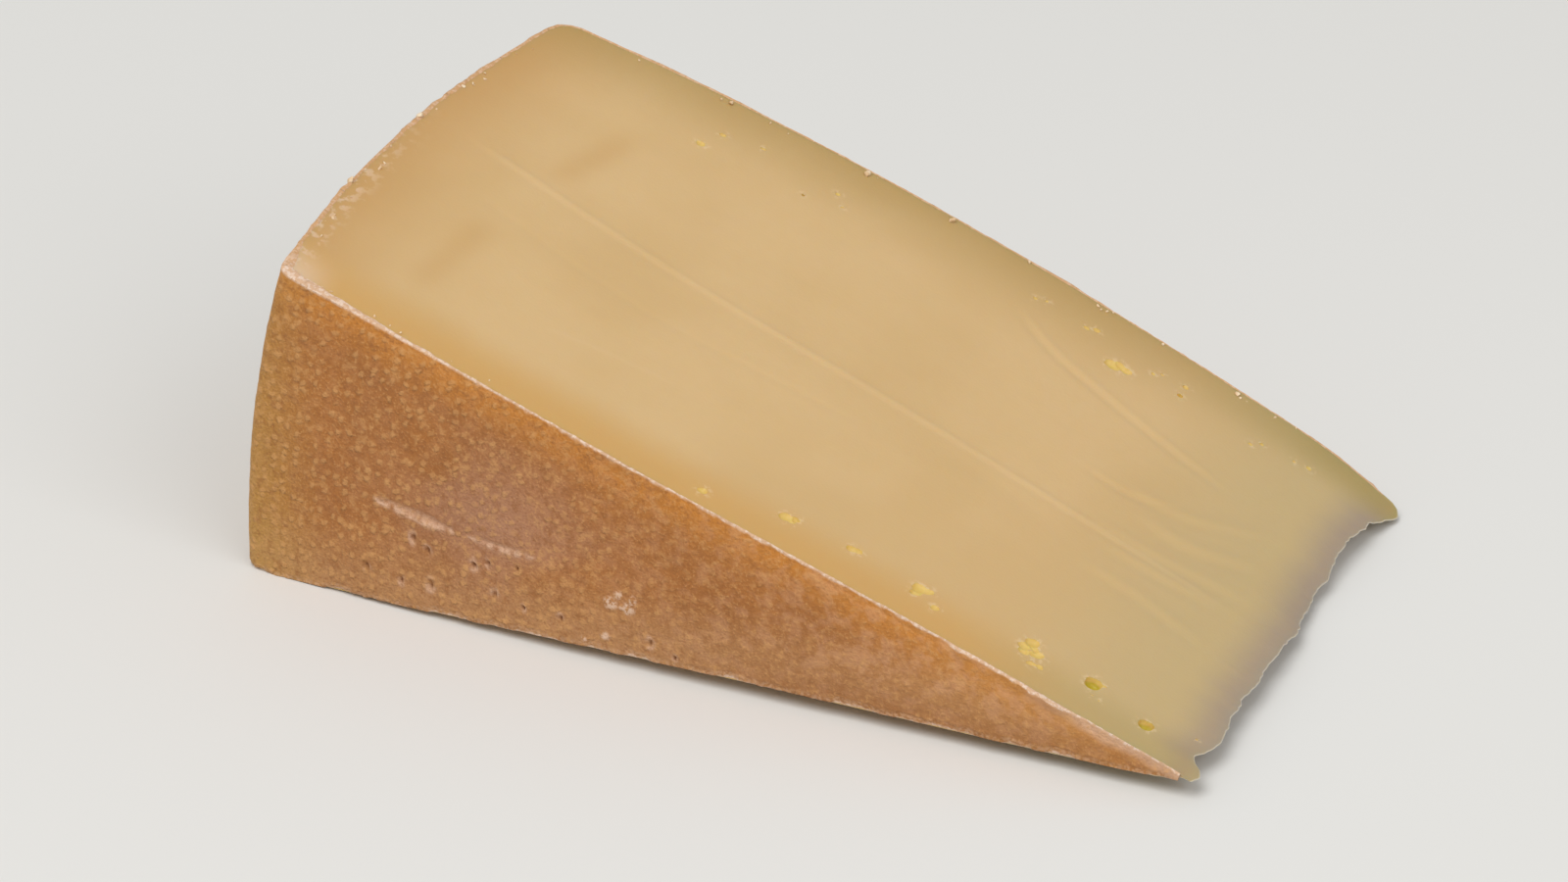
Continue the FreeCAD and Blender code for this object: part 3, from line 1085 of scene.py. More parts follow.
@dataclass
class Paste:
    """The body of the wedge, inside its rind."""

    form: WedgeForm
    face: CutFace
    place: Place
    finish: PasteFinish = field(default_factory=PasteFinish)
    columns: int = 322
    rows: int = 200
    side_cuts: int = 4
    inset: float = 0.22
    side_inset: float = 1.5
    corner: float = 4.0
    corner_share: float = 0.8
    tip_start: float = 0.93
    rough_tip: float = 1.5
    edge_round: float = 0.15
    flake: float = 5.0
    underside_share: float = 0.62
    eye_grain: float = 0.14
    eye_wobble: float = 0.12
    eyes_share: float = 0.01
    deepest_eye: float = 2.5
    halo_reach: float = 0.9

    def block(self) -> Piece:
        """Return a closed block whose points lie between 0 and 1, ready to be shaped."""
        clear_selection()
        bpy.ops.mesh.primitive_grid_add(x_subdivisions=self.columns, y_subdivisions=self.rows, size=1.0)
        piece = named("cheese_paste")
        bpy.ops.object.mode_set(mode="EDIT")
        bpy.ops.mesh.select_all(action="SELECT")
        bpy.ops.mesh.extrude_region_move(TRANSFORM_OT_translate={"value": (0.0, 0.0, 1.0)})
        bpy.ops.mesh.select_all(action="DESELECT")
        bpy.ops.mesh.select_mode(type="EDGE")
        mesh = bmesh.from_edit_mesh(piece.data)
        for edge in mesh.edges:
            edge.select_set(abs(edge.verts[0].co.z - edge.verts[1].co.z) > 0.5)
        bmesh.update_edit_mesh(piece.data)
        bpy.ops.mesh.subdivide(number_cuts=self.side_cuts)
        bpy.ops.mesh.select_mode(type="VERT")
        bpy.ops.object.mode_set(mode="OBJECT")
        return piece

    def inner_rim(self, y: Array, inset: Array) -> Array:
        """Return the radius of the paste's own rim, set in and with wide round corners."""
        radius = self.form.rim(y) - inset
        from_flat = np.minimum(y - self.form.front(self.form.radius), self.form.back(self.form.radius) - y)
        short = np.clip(self.corner - from_flat, 0.0, self.corner)
        return radius - (self.corner - np.sqrt(self.corner**2 - short**2)) * self.corner_share

    def shape(self, unit: Array) -> Array:
        """Return the block's points as the paste's.

        Args:
            unit: the points between 0 and 1: from rim to tip, from front to back, and up.

        Returns:
            The points in the form's millimetres.
        """
        along, across, up = unit.T
        in_side = (up > 0.01) & (up < 0.99)
        inset = np.where(in_side, self.side_inset, self.inset)
        rough_radius = mix(self.form.radius, self.form.tip_to_axis + self.rough_tip, along)
        y = mix(self.form.front(rough_radius) + inset, self.form.back(rough_radius) - inset, across)
        near_tip = smooth_step(self.tip_start, 1.0, along)
        y = mix(y, mix(self.form.front(rough_radius), self.form.back(rough_radius), across), near_tip)
        rounding = self.edge_round * (1.0 - np.sqrt(np.clip(1.0 - (2.0 * up - 1.0) ** 2, 0.0, 1.0)))
        radius = mix(self.inner_rim(y, inset), self.form.tip(y) + rounding, along)
        low, high = self.form.angles(radius, y)
        thin = self.form.tip_edge / np.maximum(radius * (high - low), self.form.tip_edge)
        thick = mix(thin, 1.0, smooth_step(0.0, self.flake, radius - self.form.tip(y)))
        points = self.form.point(radius, y, 1.0 - (1.0 - up) * thick)
        relief = self.face.relief(points[:, 0], points[:, 1])
        points[:, 2] += relief * mix(1.0, smooth_step(0.5, 1.0, up), thick)
        return points

    def thin_underside(self, piece: Piece, unit: Array) -> None:
        """Merge most of the underside's small faces, where the cut is plain."""
        group = piece.vertex_groups.new(name="underside")
        plain = (unit[:, 2] < 0.01) & (unit[:, 0] > 0.01) & (unit[:, 0] < 0.97)
        plain &= (unit[:, 1] > 0.02) & (unit[:, 1] < 0.98)
        group.add([int(index) for index in np.nonzero(plain)[0]], 1.0, "REPLACE")
        apply_modifier(piece, "DECIMATE", ratio=self.underside_share, vertex_group=group.name,
                       vertex_group_factor=1.0)
        piece.vertex_groups.clear()

    def cut_eyes(self, piece: Piece) -> None:
        """Cut the small round holes."""
        eyes = self.face.eyes()
        tops = self.face.height(np.array([eye.x for eye in eyes]), np.array([eye.y for eye in eyes]))
        balls = []
        for eye, top in zip(eyes, tops):
            tall = 0.75 * eye.reach + 0.4 * eye.depth
            grow = tall / math.sqrt(max(tall**2 - (tall - eye.depth) ** 2, 0.2 * tall**2))
            centre = np.array([eye.x, eye.y, top + tall - eye.depth])
            size = np.array([grow * eye.length / 2.0, grow * eye.width / 2.0, tall])
            turn = np.radians([0.0, self.form.front_angle, eye.turn])
            balls.append(Ball(centre, size, turn))
        cutter = joined_balls(balls, "eye_cutter", 4)
        points = points_of(cutter)
        set_points(cutter, points + self.eye_wobble * self.ragged(points))
        apply_modifier(cutter, "REMESH", mode="VOXEL", voxel_size=self.eye_grain)
        set_points(cutter, self.place.to_frame(points_of(cutter)))
        log.info("%s: %d points", cutter.name, len(cutter.data.vertices))
        cut(piece, cutter, self.eyes_share)
        drop_flaps(piece)

    def ragged(self, points: Array) -> Array:
        """Return a sideways shift that makes the holes' rims uneven."""
        swing = Lattice(31), Lattice(32)
        shift = np.stack([noise.at(points, 0.8) for noise in swing], axis=1)
        return np.hstack([shift, np.zeros((len(points), 1))])

    def store(self, piece: Piece) -> None:
        """Store what the material reads."""
        x, y, z = self.place.from_frame(points_of(piece)).T
        radius = np.hypot(x, z)
        low = self.form.lower(x, y)
        high = smooth_step(0.4, 0.8, (z - low) / (self.form.upper(x, y) - low))
        near = np.zeros(len(x))
        inside = np.zeros(len(x), dtype=bool)
        for eye in self.face.eyes():
            distance = np.hypot(x - eye.x, y - eye.y)
            near = np.maximum(near, 1.0 - smooth_step(eye.reach, eye.reach + self.halo_reach, distance))
            inside |= distance < eye.reach * 1.6
        depth = np.clip(self.face.height(x, y) - z, 0.0, None)
        values = {
            "front_mm": y - self.form.front(radius),
            "back_mm": self.form.back(radius) - y,
            "rim_mm": self.form.rim(y) - radius,
            "tip_mm": radius - self.form.tip(y),
            "ochre": high * self.face.lines(OCHRE_BANDS, x, y),
            # painted highlight along the knife ridge and the long scratch
            "painted_ridge_highlight": high * self.face.lines(RIDGE_HIGHLIGHT_LINES, x, y),
            "eye_mm": np.where(inside & (depth < self.deepest_eye), depth, 0.0) * high,
            # pale flecks round the holes: partly the paste's own, partly painted glints
            "halo": near * high,
        }
        for name, value in values.items():
            set_values(piece, name, value)

    def build(self) -> Piece:
        """Return the finished paste."""
        piece = self.block()
        unit = points_of(piece) + (0.5, 0.5, 0.0)
        set_points(piece, self.place.to_frame(self.shape(unit)))
        self.thin_underside(piece, unit)
        self.cut_eyes(piece)
        self.store(piece)
        finish_piece(piece, self.finish.build())
        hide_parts(NODE)
        return piece


# ----------------------------------------------------------------------
# The rind


@dataclass(frozen=True)
class Hollow:
    """A small pit or fleck in the front of the rind: place, radius and depth or height, in millimetres."""

    along: float
    height: float
    radius: float
    depth: float


@dataclass(frozen=True)
class HollowGroup:
    """Pits or flecks scattered over a stretch of the front of the rind.

    start and end are shares of the wedge's length; low, high, radius and depth are in millimetres.
    """

    count: int
    start: float
    end: float
    low: float
    high: float
    radius: float
    depth: float

    def hollows(self, form: WedgeForm, draw: np.random.Generator) -> list[Hollow]:
        """Return the group's pits, one in each equal part of its stretch."""
        step = (self.end - self.start) / self.count
        return [Hollow((self.start + (index + draw.uniform(0.0, 1.0)) * step) * form.length,
                       draw.uniform(self.low, self.high), self.radius * draw.uniform(0.6, 1.3),
                       self.depth * draw.uniform(0.8, 1.2)) for index in range(self.count)]


@dataclass(frozen=True)
class Gouge:
    """A scrape in the front of the rind.

    points are shares of the wedge's length with heights in millimetres; slim is how much narrower it is made.
    """

    points: tuple[tuple[float, float], ...]
    slim: float


PITS = (HollowGroup(6, 0.14, 0.36, 5.0, 7.0, 0.5, 0.5), HollowGroup(5, 0.17, 0.34, 10.5, 12.5, 0.5, 0.5),
        HollowGroup(2, 0.38, 0.55, 3.0, 7.0, 0.45, 0.4))
MOULD = (HollowGroup(5, 0.41, 0.44, 9.5, 12.0, 0.9, 0.2), HollowGroup(2, 0.38, 0.41, 3.0, 4.5, 0.8, 0.2))
GOUGES = (
    Gouge(((0.16, 17.5), (0.20, 16.5), (0.24, 15.5)), -0.2),
    Gouge(((0.26, 15.0), (0.33, 14.5)), 0.1),
)


@dataclass(frozen=True)
class Stations:
    """Places along the rind's outline.

    spots are radii and places across the wheel; reach is the distance along the outline from the front
    corner, less than 0 along the front.
    """

    spots: Array
    outward: Array
    reach: Array

    def set_in(self, depth: Array) -> Array:
        """Return the places at a depth behind the outline."""
        return self.spots - self.outward * depth[:, None]


@dataclass
class Rind:
    """The rind, a thin shell round the wheel's front flat, rim and back flat."""

    form: WedgeForm
    face: CutFace
    place: Place
    finish: RindFinish = field(default_factory=RindFinish)
    front_stations: int = 410
    rim_stations: int = 200
    back_stations: int = 140
    outer_rows: int = 112
    lip_rows: int = 5
    wall_rows: int = 2
    narrow_lip: float = 0.6
    wide_lip: float = 2.5
    rim_lip: float = 1.2
    back_lip: float = 0.6
    lip_proud: float = 0.11
    beads: float = 1.1
    bead_reach: float = 2.0
    end_gap: float = 1.8
    skin: Lattice = Lattice(5)
    crumble: Lattice = Lattice(23)
    hollow_seed: int = 29
    clearance: float = 0.02
    front_fade: float = 3.0
    gouge_depth: float = 0.30
    gouge_lip: float = 0.12
    edge_dent: float = 0.12
    deep_dent: float = 0.7
    bloom_place: tuple[float, float] = (0.29, 18.0)
    bloom_size: tuple[float, float] = (15.0, 10.0)
    slope_step: float = 0.4
    flat_samples: int = 700
    rim_samples: int = 400
    bend_samples: int = 42
    bend_reach: float = 1.17

    def profile(self) -> tuple[Array, Array]:
        """Return the wheel's outline from the front of the tip, round the rim, to the back of the tip.

        Returns:
            Points as radius and place across, and the numbers of the two rounded corners' middles.
        """
        form = self.form
        front_end = form.tip(np.array([0.0]))[0] + self.end_gap
        back_end = form.tip(np.array([form.thickness]))[0] + self.end_gap
        front_reach, back_reach = self.bend_reach * form.front_round, self.bend_reach * form.back_round
        front_r = np.linspace(front_end, form.radius - front_reach, self.flat_samples)
        front = np.stack([front_r, form.front(front_r)], axis=1)
        back_r = np.linspace(form.radius - back_reach, back_end, self.flat_samples)
        back = np.stack([back_r, form.back(back_r)], axis=1)
        front_corner, back_corner = form.front_fall, form.thickness - form.back_fall
        rim_y = np.linspace(front_corner + front_reach, back_corner - back_reach, self.rim_samples)
        rim = np.stack([form.rim(rim_y), rim_y], axis=1)
        first = self.bend(front[-1], np.array([form.radius, front_corner]), rim[0])
        second = self.bend(rim[-1], np.array([form.radius, back_corner]), back[0])
        line = np.concatenate([front, first, rim, second, back])
        middle = len(front) + len(first) // 2
        other = len(front) + len(first) + len(rim) + len(second) // 2
        return line, np.array([middle, other])

    def bend(self, start: Array, corner: Array, end: Array) -> Array:
        """Return a smooth bend from start to end, drawn towards the corner."""
        share = np.linspace(0.0, 1.0, self.bend_samples)[1:-1, None]
        return (1.0 - share) ** 2 * start + 2.0 * share * (1.0 - share) * corner + share**2 * end

    def stations(self) -> Stations:
        """Return the stations along the outline."""
        line, corners = self.profile()
        reach = np.concatenate([[0.0], np.cumsum(np.linalg.norm(np.diff(line, axis=0), axis=1))])
        marks = (0.0, reach[corners[0]], reach[corners[1]], reach[-1])
        counts = (self.front_stations, self.rim_stations, self.back_stations)
        at = np.concatenate([np.linspace(marks[k], marks[k + 1], counts[k], endpoint=False) for k in range(3)]
                            + [np.array([marks[3]])])
        before, spots, after = (np.stack([np.interp(at + step, reach, line[:, k]) for k in (0, 1)], axis=1)
                                for step in (-self.slope_step, 0.0, self.slope_step))
        way = after - before
        way /= np.linalg.norm(way, axis=1)[:, None]
        outward = np.stack([way[:, 1], -way[:, 0]], axis=1)
        return Stations(spots, outward, at - marks[1])

    def level(self, spots: Array, share: float) -> Array:
        """Return points at places along the outline, all at one share of the way up from the lower cut."""
        return self.form.point(spots[:, 0], spots[:, 1], np.full(len(spots), share))

    def lip_width(self, reach: Array) -> Array:
        """Return the width of the rind's pale cut edge, in millimetres, at distances along the outline."""
        front = mix(self.narrow_lip, self.wide_lip, smooth_step(-42.0, -2.0, reach))
        rim = mix(front, self.rim_lip, smooth_step(2.0, 9.0, reach))
        wide = mix(rim, self.back_lip, smooth_step(60.0, 100.0, reach))
        line = flat_points(reach)
        return wide * (1.0 + 0.3 * self.crumble.rough(line, 5.0) + 0.22 * self.crumble.at(line + 3.0, 1.4))

    def gouge(self, distance: Array, height: Array) -> tuple[Array, Array]:
        """Return which points lie in a gouge, and which on its lower lip.

        Args:
            distance: distance along the wedge from the rim's corners.
            height: height above the floor.

        Returns:
            1 in the gouge's floor, and 1 on its lower lip.
        """
        near = np.full(len(distance), FAR)
        above = np.zeros(len(distance))
        for mark in GOUGES:
            knots = np.array(mark.points) * (self.form.length, 1.0)
            ends = np.minimum(np.abs(distance - knots[0, 0]), np.abs(distance - knots[-1, 0]))
            slim = mark.slim + 0.5 * (1.0 - smooth_step(0.0, 3.5, ends))
            for first, last in zip(knots[:-1], knots[1:]):
                way = last - first
                here = np.stack([distance, height], axis=1) - first
                apart = here - np.clip(here @ way / (way @ way), 0.0, 1.0)[:, None] * way
                size = np.linalg.norm(apart, axis=1) + slim
                above = np.where(size < near, apart[:, 1], above)
                near = np.minimum(near, size)
        points = flat_points(distance, height)
        near = near + 0.45 * self.crumble.rough(points, 2.4)
        floor = 1.0 - smooth_step(0.25, 0.7, near)
        # the gouge's lower lip: pale scraped rind with a painted highlight on its raised edge
        lip = bump(near - 0.7, 0.4) * smooth_step(0.4, -0.3, above)
        lip = lip * smooth_step(-0.55, 0.1, self.crumble.at(points + 3.0, 0.9))
        return floor, lip

    def outer(self, stations: Stations) -> tuple[Array, dict[str, Array]]:
        """Return the rind's outer surface.

        Returns:
            The points, station by station and row by row from the floor up, and values for the material.
        """
        share = np.tile(np.linspace(0.0, 1.0, self.outer_rows), len(stations.spots))
        radius, y = np.repeat(stations.spots, self.outer_rows, axis=0).T
        way = np.repeat(stations.outward, self.outer_rows, axis=0)
        along_line = np.repeat(stations.reach, self.outer_rows)
        plain = self.form.point(radius, y, share)
        low, high = self.form.angles(radius, y)
        below = radius * (high - low) * (1.0 - share)
        above = radius * (high - low) * share
        distance = plain[:, 0] + self.form.radius
        is_front = 1.0 - smooth_step(-self.front_fade, 0.0, along_line)
        height = self.skin_height(plain, along_line, below, above)
        draw = np.random.default_rng(self.hollow_seed)
        floor, lips = self.gouge(distance, plain[:, 2])
        depth, pit, ring = self.pits(plain, draw)
        raised, mould = self.mould(plain, draw)
        height += is_front * (self.gouge_lip * lips - self.gouge_depth * floor - depth + raised)
        inward = self.deep_dent * smooth_step(0.5, 3.0, below) * smooth_step(0.5, 3.0, above)
        height = np.maximum(height, -self.edge_dent - inward)
        radius = radius + way[:, 0] * height
        y = y + way[:, 1] * height
        points = self.form.point(radius, y, share)
        chips = np.clip(self.crumble.rough(flat_points(along_line), 2.0) + 0.2, 0.0, 1.0)
        chips = chips * smooth_step(0.0, 5.0, above + below)
        beads = self.beads * chips * (1.0 - smooth_step(0.0, self.bead_reach, above))
        points[:, 2] = np.maximum(points[:, 2] + beads, self.clearance)
        bloom = is_front * bump(distance - self.bloom_place[0] * self.form.length, self.bloom_size[0])
        bloom = bloom * bump(plain[:, 2] - self.bloom_place[1], self.bloom_size[1])
        bloom = bloom * smooth_step(-0.5, 0.4, self.skin.at(plain, 9.0))
        values = {
            "along": self.form.along(plain[:, 0]),
            "cut_mm": below + 0.5 * self.skin.at(plain, 2.5),
            "base_mm": above,
            "front_lip": 1.0 - smooth_step(-1.0, 5.0, along_line),
            # pale scraped rind in the gouges' floors, with painted highlight on their lower lips and on the
            # pits' rings
            "scar_and_highlight": is_front * np.max([0.5 * floor, ring, lips], axis=0),
            "mould": is_front * mould,
            "pit": is_front * pit,
            "bloom": bloom,
            "lip": 1.0 - smooth_step(0.05, 0.35, below + 0.2 * self.crumble.at(plain, 0.9)),
            "skin_u": along_line,
            "skin_v": above,
        }
        return points, values

    def scattered(self, groups: tuple[HollowGroup, ...], draw: np.random.Generator) -> list[Hollow]:
        """Return every pit or fleck of some groups."""
        return [hollow for group in groups for hollow in group.hollows(self.form, draw)]

    def pits(self, plain: Array, draw: np.random.Generator) -> tuple[Array, Array, Array]:
        """Return the pits' depth in millimetres, 1 in their dark middles, and 1 on their pale rings of
        painted highlight.
        """
        depth, middle, ring = np.zeros((3, len(plain)))
        wobble = 0.2 * self.crumble.at(plain, 0.7)
        broken = smooth_step(-0.4, 0.2, self.crumble.at(plain + 5.0, 1.1))
        for hollow in self.scattered(PITS, draw):
            sideways = plain[:, 0] + self.form.radius - hollow.along
            apart = np.hypot(1.25 * sideways, 0.8 * (plain[:, 2] - hollow.height)) + wobble
            near = apart / hollow.radius
            depth += hollow.depth * (1.0 - smooth_step(0.4, 1.3, near))
            middle = np.maximum(middle, 0.9 * (1.0 - smooth_step(0.2, 0.9, near)))
            # pale ring: painted highlight round the pit's rim
            ring = np.maximum(ring, 0.75 * bump(near - 1.3, 0.7) * broken)
        return depth, middle, ring

    def mould(self, plain: Array, draw: np.random.Generator) -> tuple[Array, Array]:
        """Return how high the pale flecks stand in millimetres, and 1 on them."""
        height, mask = np.zeros((2, len(plain)))
        wobble = 0.75 * self.crumble.rough(plain, 1.3)
        for fleck in self.scattered(MOULD, draw):
            apart = np.hypot(plain[:, 0] + self.form.radius - fleck.along, plain[:, 2] - fleck.height)
            on = 1.0 - smooth_step(0.45, 1.1, (apart + wobble) / fleck.radius)
            height += fleck.depth * on
            mask = np.maximum(mask, on)
        return height, mask

    def skin_height(self, plain: Array, reach: Array, below: Array, above: Array) -> Array:
        """Return the rind's own relief: swells, pebbles, and its uneven upper and lower edges."""
        line = flat_points(reach)
        height = 0.16 * self.skin.rough(plain, 11.0)
        height += 0.07 * self.skin.rough(plain + 40.0, 2.6)
        height += 0.04 * self.skin.at(plain + 80.0, 0.9)
        height -= 0.18 * (1.0 - smooth_step(0.0, 1.2, above)) * (1.0 + self.crumble.at(plain, 1.7))
        waver = 0.32 * self.crumble.at(line, 7.0) + 0.2 * self.crumble.rough(line + 9.0, 2.1)
        waver = waver * mix(1.0, 1.9, smooth_step(0.45, 0.85, self.form.along(plain[:, 0])))
        height += bump(below, 1.1) * (waver + 0.08 * self.crumble.at(plain, 0.8))
        height += 0.2 * (1.0 - smooth_step(0.3, 2.0, above)) * np.clip(self.crumble.at(plain, 0.9), 0.0, 1.0)
        return height

    def section_strips(self, stations: Stations) -> tuple[Array, dict[str, Array]]:
        """Return the closed cross-section of the rind at every station.

        Returns:
            Points by station and place in the section, and the values there.
        """
        count = len(stations.spots)
        outer, values = self.outer(stations)
        outer = outer.reshape(count, self.outer_rows, 3)
        width = self.lip_width(stations.reach)
        inner = stations.set_in(width)
        lip_places = np.linspace(0.0, 1.0, self.lip_rows + 1)[1:]
        wall_shares = np.linspace(1.0, 0.0, self.wall_rows + 2)[1:-1]
        strips = [
            outer,
            self.lip(stations, outer[:, -1], width, lip_places, 1.0),
            *[self.level(inner, share)[:, None, :] for share in wall_shares],
            self.lip(stations, outer[:, 0], width, lip_places[::-1], 0.0),
            outer[:, :1],
        ]
        points = np.concatenate(strips, axis=1)
        extra = points.shape[1] - self.outer_rows
        full = {}
        for name, value in values.items():
            table = value.reshape(count, self.outer_rows)
            top = np.repeat(table[:, -1:], self.lip_rows, axis=1)
            rest = np.repeat(table[:, :1], extra - self.lip_rows, axis=1)
            full[name] = np.concatenate([table, top, rest], axis=1)
        start = self.outer_rows
        full["lip"][:, start:start + self.lip_rows] = 1.0
        full["lip"][:, -1 - self.lip_rows:-1] = 1.0
        for name in ("pit", "scar_and_highlight", "mould"):
            full[name][:, start:-1] = 0.0
        return points, full

    def lip(self, stations: Stations, edge: Array, width: Array, places: Array, share: float) -> Array:
        """Return the rows of points across the rind's cut edge.

        Args:
            stations: the places along the outline.
            edge: the outer surface's last points.
            width: the lip's width at each station.
            places: the rows' shares of the way from the outer surface to the inner wall.
            share: 1 for the upper cut, 0 for the lower cut.

        Returns:
            Points by station and row.
        """
        rows = []
        for place in places:
            points = self.level(stations.set_in(width * place), share)
            if share > 0.5:
                points[:, 2] += self.face.relief(points[:, 0], points[:, 1])
            blend = np.exp(-4.0 * place)
            shift = (edge - self.level(stations.spots, share)) * blend
            points = points + shift
            bead = 1.0 + 0.8 * self.crumble.rough(points, 1.2)
            bead += 0.6 * self.crumble.at(points + 5.0, 0.7)
            rise = self.lip_proud * bead * math.sin(math.pi * min(place + 0.25, 1.0)) - 0.55 * place**4
            points[:, 2] += rise if share > 0.5 else -0.5 * rise
            points[:, 2] = np.maximum(points[:, 2], self.clearance)
            rows.append(points)
        return np.stack(rows, axis=1)

    def build(self) -> Piece:
        """Return the finished rind."""
        points, values = self.section_strips(self.stations())
        count, around = points.shape[:2]
        clear_selection()
        bpy.ops.mesh.primitive_grid_add(x_subdivisions=count - 1, y_subdivisions=around - 1, size=1.0)
        piece = named("cheese_rind")
        grid = points_of(piece) + (0.5, 0.5, 0.0)
        station = np.rint(grid[:, 0] * (count - 1)).astype(int)
        row = np.rint(grid[:, 1] * (around - 1)).astype(int)
        set_points(piece, self.place.to_frame(points[station, row]))
        skin = np.stack([values.pop("skin_u"), values.pop("skin_v"), np.zeros((count, around))], axis=2)
        layer = piece.data.attributes.new("skin", "FLOAT_VECTOR", "POINT")
        layer.data.foreach_set("vector", skin[station, row].astype(np.float32).ravel())
        for name, value in values.items():
            set_values(piece, name, value[station, row])
        bpy.ops.object.mode_set(mode="EDIT")
        bpy.ops.mesh.select_all(action="SELECT")
        bpy.ops.mesh.remove_doubles(threshold=1e-7)
        bpy.ops.mesh.select_all(action="DESELECT")
        bpy.ops.mesh.select_non_manifold()
        bpy.ops.mesh.fill_holes(sides=0)
        bpy.ops.mesh.select_all(action="SELECT")
        bpy.ops.mesh.normals_make_consistent(inside=False)
        bpy.ops.object.mode_set(mode="OBJECT")
        finish_piece(piece, self.finish.build(), angle=70.0)
        return piece


# ----------------------------------------------------------------------
# Crumbs


@dataclass
class Crumbs:
    """Loose crumbs along the edges of the upper cut."""

    form: WedgeForm
    face: CutFace
    place: Place
    finish: CrumbFinish = field(default_factory=CrumbFinish)
    seed: int = 41
    rim_count: int = 16
    back_count: int = 16
    front_count: int = 8
    sizes: tuple[float, float] = (0.12, 0.32)
    large_sizes: tuple[float, float] = (0.4, 0.65)
    rim_place: float = 0.002
    back_place: float = 0.985
    rim_large: tuple[float, ...] = (0.3, 0.55)
    back_large: tuple[float, ...] = (0.20, 0.36, 0.46, 0.80)

    def places(self) -> list[tuple[float, float, float]]:
        """Return each crumb's place, as shares of length and thickness, and its half size in millimetres."""
        uniform = np.random.default_rng(self.seed).uniform
        found = [(self.rim_place, across, uniform(*self.large_sizes)) for across in self.rim_large]
        found += [(along, self.back_place, uniform(*self.large_sizes)) for along in self.back_large]
        for _ in range(self.rim_count):
            found.append((uniform(0.0, 0.015), uniform(0.06, 0.94), uniform(*self.sizes)))
        for _ in range(self.back_count):
            found.append((uniform(0.03, 0.97), 1.0 - uniform(0.004, 0.02), uniform(*self.sizes)))
        for _ in range(self.front_count):
            found.append((uniform(0.0, 0.3), uniform(0.004, 0.02), uniform(*self.sizes)))
        return found

    def build(self) -> Piece:
        """Return all crumbs as one piece."""
        draw = np.random.default_rng(self.seed + 1)
        along, across, half = np.array(self.places()).T
        radius = self.form.radius - along * self.form.length
        y = mix(self.form.front(radius), self.form.back(radius), across)
        bulge = (self.form.rim(y) - self.form.radius) * (1.0 - along)
        spots = self.form.point(radius + bulge, y, np.ones(len(y)))
        spots[:, 2] += self.face.relief(spots[:, 0], spots[:, 1]) + 0.35 * half
        balls = []
        for spot, size in zip(spots, half):
            shape = np.array([1.0, draw.uniform(0.5, 0.9), draw.uniform(0.45, 0.8)]) * size
            balls.append(Ball(spot, shape, draw.uniform(0.0, math.pi, 3)))
        piece = joined_balls(balls, "cheese_crumbs", 2)
        points = points_of(piece)
        lumps = Lattice(self.seed)
        shift = np.stack([lumps.at(points + 13.0 * axis, 0.45) for axis in range(3)], axis=1)
        set_points(piece, self.place.to_frame(points + 0.22 * shift))
        finish_piece(piece, self.finish.build(), angle=35.0)
        return piece


# ----------------------------------------------------------------------
# Studio


@dataclass(frozen=True)
class Lamp:
    """A large square lamp that faces the wedge: its direction in degrees, as the camera's, and its watts."""

    name: str
    azimuth: float
    elevation: float
    power: float
    distance: float = 2.6
    size: float = 1.8


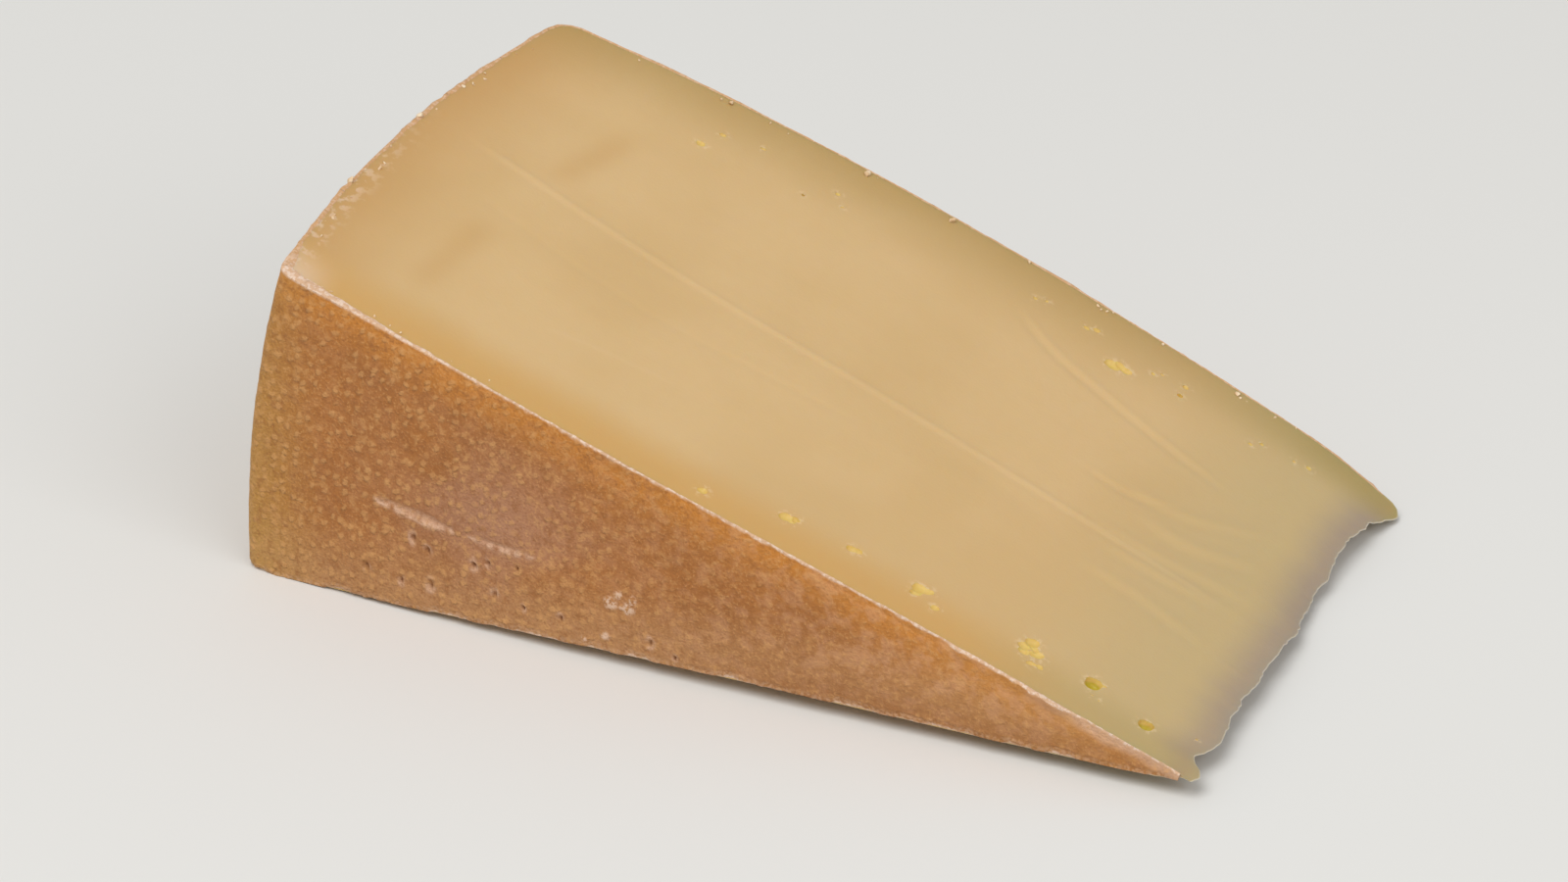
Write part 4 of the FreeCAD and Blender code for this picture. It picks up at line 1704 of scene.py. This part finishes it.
@dataclass
class Studio:
    """The pale floor, the soft lights and the camera."""

    floor_size: float = 8.0
    azimuth: float = 24.76
    elevation: float = 27.0
    distance: float = 0.7059
    lens: float = 111.9
    sensor: float = 36.0
    aim: tuple[float, float, float] = (-0.0023, -0.0053, 0.0192)
    world_colour: Colour = srgb(244, 244, 242)
    world_strength: float = 0.5
    lamps: tuple[Lamp, ...] = (
        Lamp("key_lamp", azimuth=-12.0, elevation=60.0, power=38.0),
        Lamp("fill_lamp", azimuth=62.0, elevation=35.0, power=18.0),
    )

    def floor(self) -> Piece:
        """Add the floor."""
        clear_selection()
        bpy.ops.mesh.primitive_plane_add(size=self.floor_size)
        floor = named("studio_floor")
        floor.data.materials.append(FloorFinish().build())
        return floor

    def lamp(self, lamp: Lamp) -> None:
        """Add one lamp."""
        clear_selection()
        place = self.towards(lamp.azimuth, lamp.elevation, lamp.distance)
        bpy.ops.object.light_add(type="AREA", location=place)
        piece = bpy.context.active_object
        piece.name = lamp.name
        piece.data.shape = "SQUARE"
        piece.data.size = lamp.size
        piece.data.energy = lamp.power
        piece.rotation_euler = self.facing(lamp.azimuth, lamp.elevation)

    @staticmethod
    def facing(azimuth: float, elevation: float) -> tuple[float, float, float]:
        """Return the turn that makes a lamp or the camera look back from a direction."""
        return (math.radians(90.0 - elevation), 0.0, math.radians(azimuth))

    def towards(self, azimuth: float, elevation: float, distance: float) -> tuple[float, float, float]:
        """Return a place seen from the aim point, at an azimuth, an elevation and a distance."""
        turn, tilt = math.radians(azimuth), math.radians(elevation)
        flat = distance * math.cos(tilt)
        x, y, z = self.aim
        return (x + flat * math.sin(turn), y - flat * math.cos(turn), z + distance * math.sin(tilt))

    def world(self) -> None:
        """Light the scene softly from all sides."""
        world = bpy.data.worlds.new("studio_world")
        bpy.context.scene.world = world
        world.use_nodes = True
        shade = world.node_tree.nodes["Background"]
        shade.inputs["Color"].default_value = self.world_colour
        shade.inputs["Strength"].default_value = self.world_strength

    def camera(self) -> None:
        """Add the camera."""
        clear_selection()
        place = self.towards(self.azimuth, self.elevation, self.distance)
        bpy.ops.object.camera_add(location=place, rotation=self.facing(self.azimuth, self.elevation))
        camera = bpy.context.active_object
        camera.name = "studio_camera"
        camera.data.sensor_width = self.sensor
        camera.data.lens = self.lens
        camera.data.clip_start = 0.01
        bpy.context.scene.camera = camera

    def build(self) -> None:
        """Add everything."""
        self.floor()
        self.world()
        for lamp in self.lamps:
            self.lamp(lamp)
        self.camera()
        bpy.context.scene.view_settings.view_transform = "Standard"


def main() -> None:
    """Build the dressed wedge and its studio."""
    logging.basicConfig(level=logging.INFO, format="%(name)s: %(message)s")
    low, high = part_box(NODE)
    form = WedgeForm(thickness=(high[1] - low[1]) / MM)
    place = Place(form)
    face = CutFace(form)
    Paste(form, face, place).build()
    Rind(form, face, place).build()
    Crumbs(form, face, place).build()
    Studio().build()


if __name__ == "__main__":
    main()
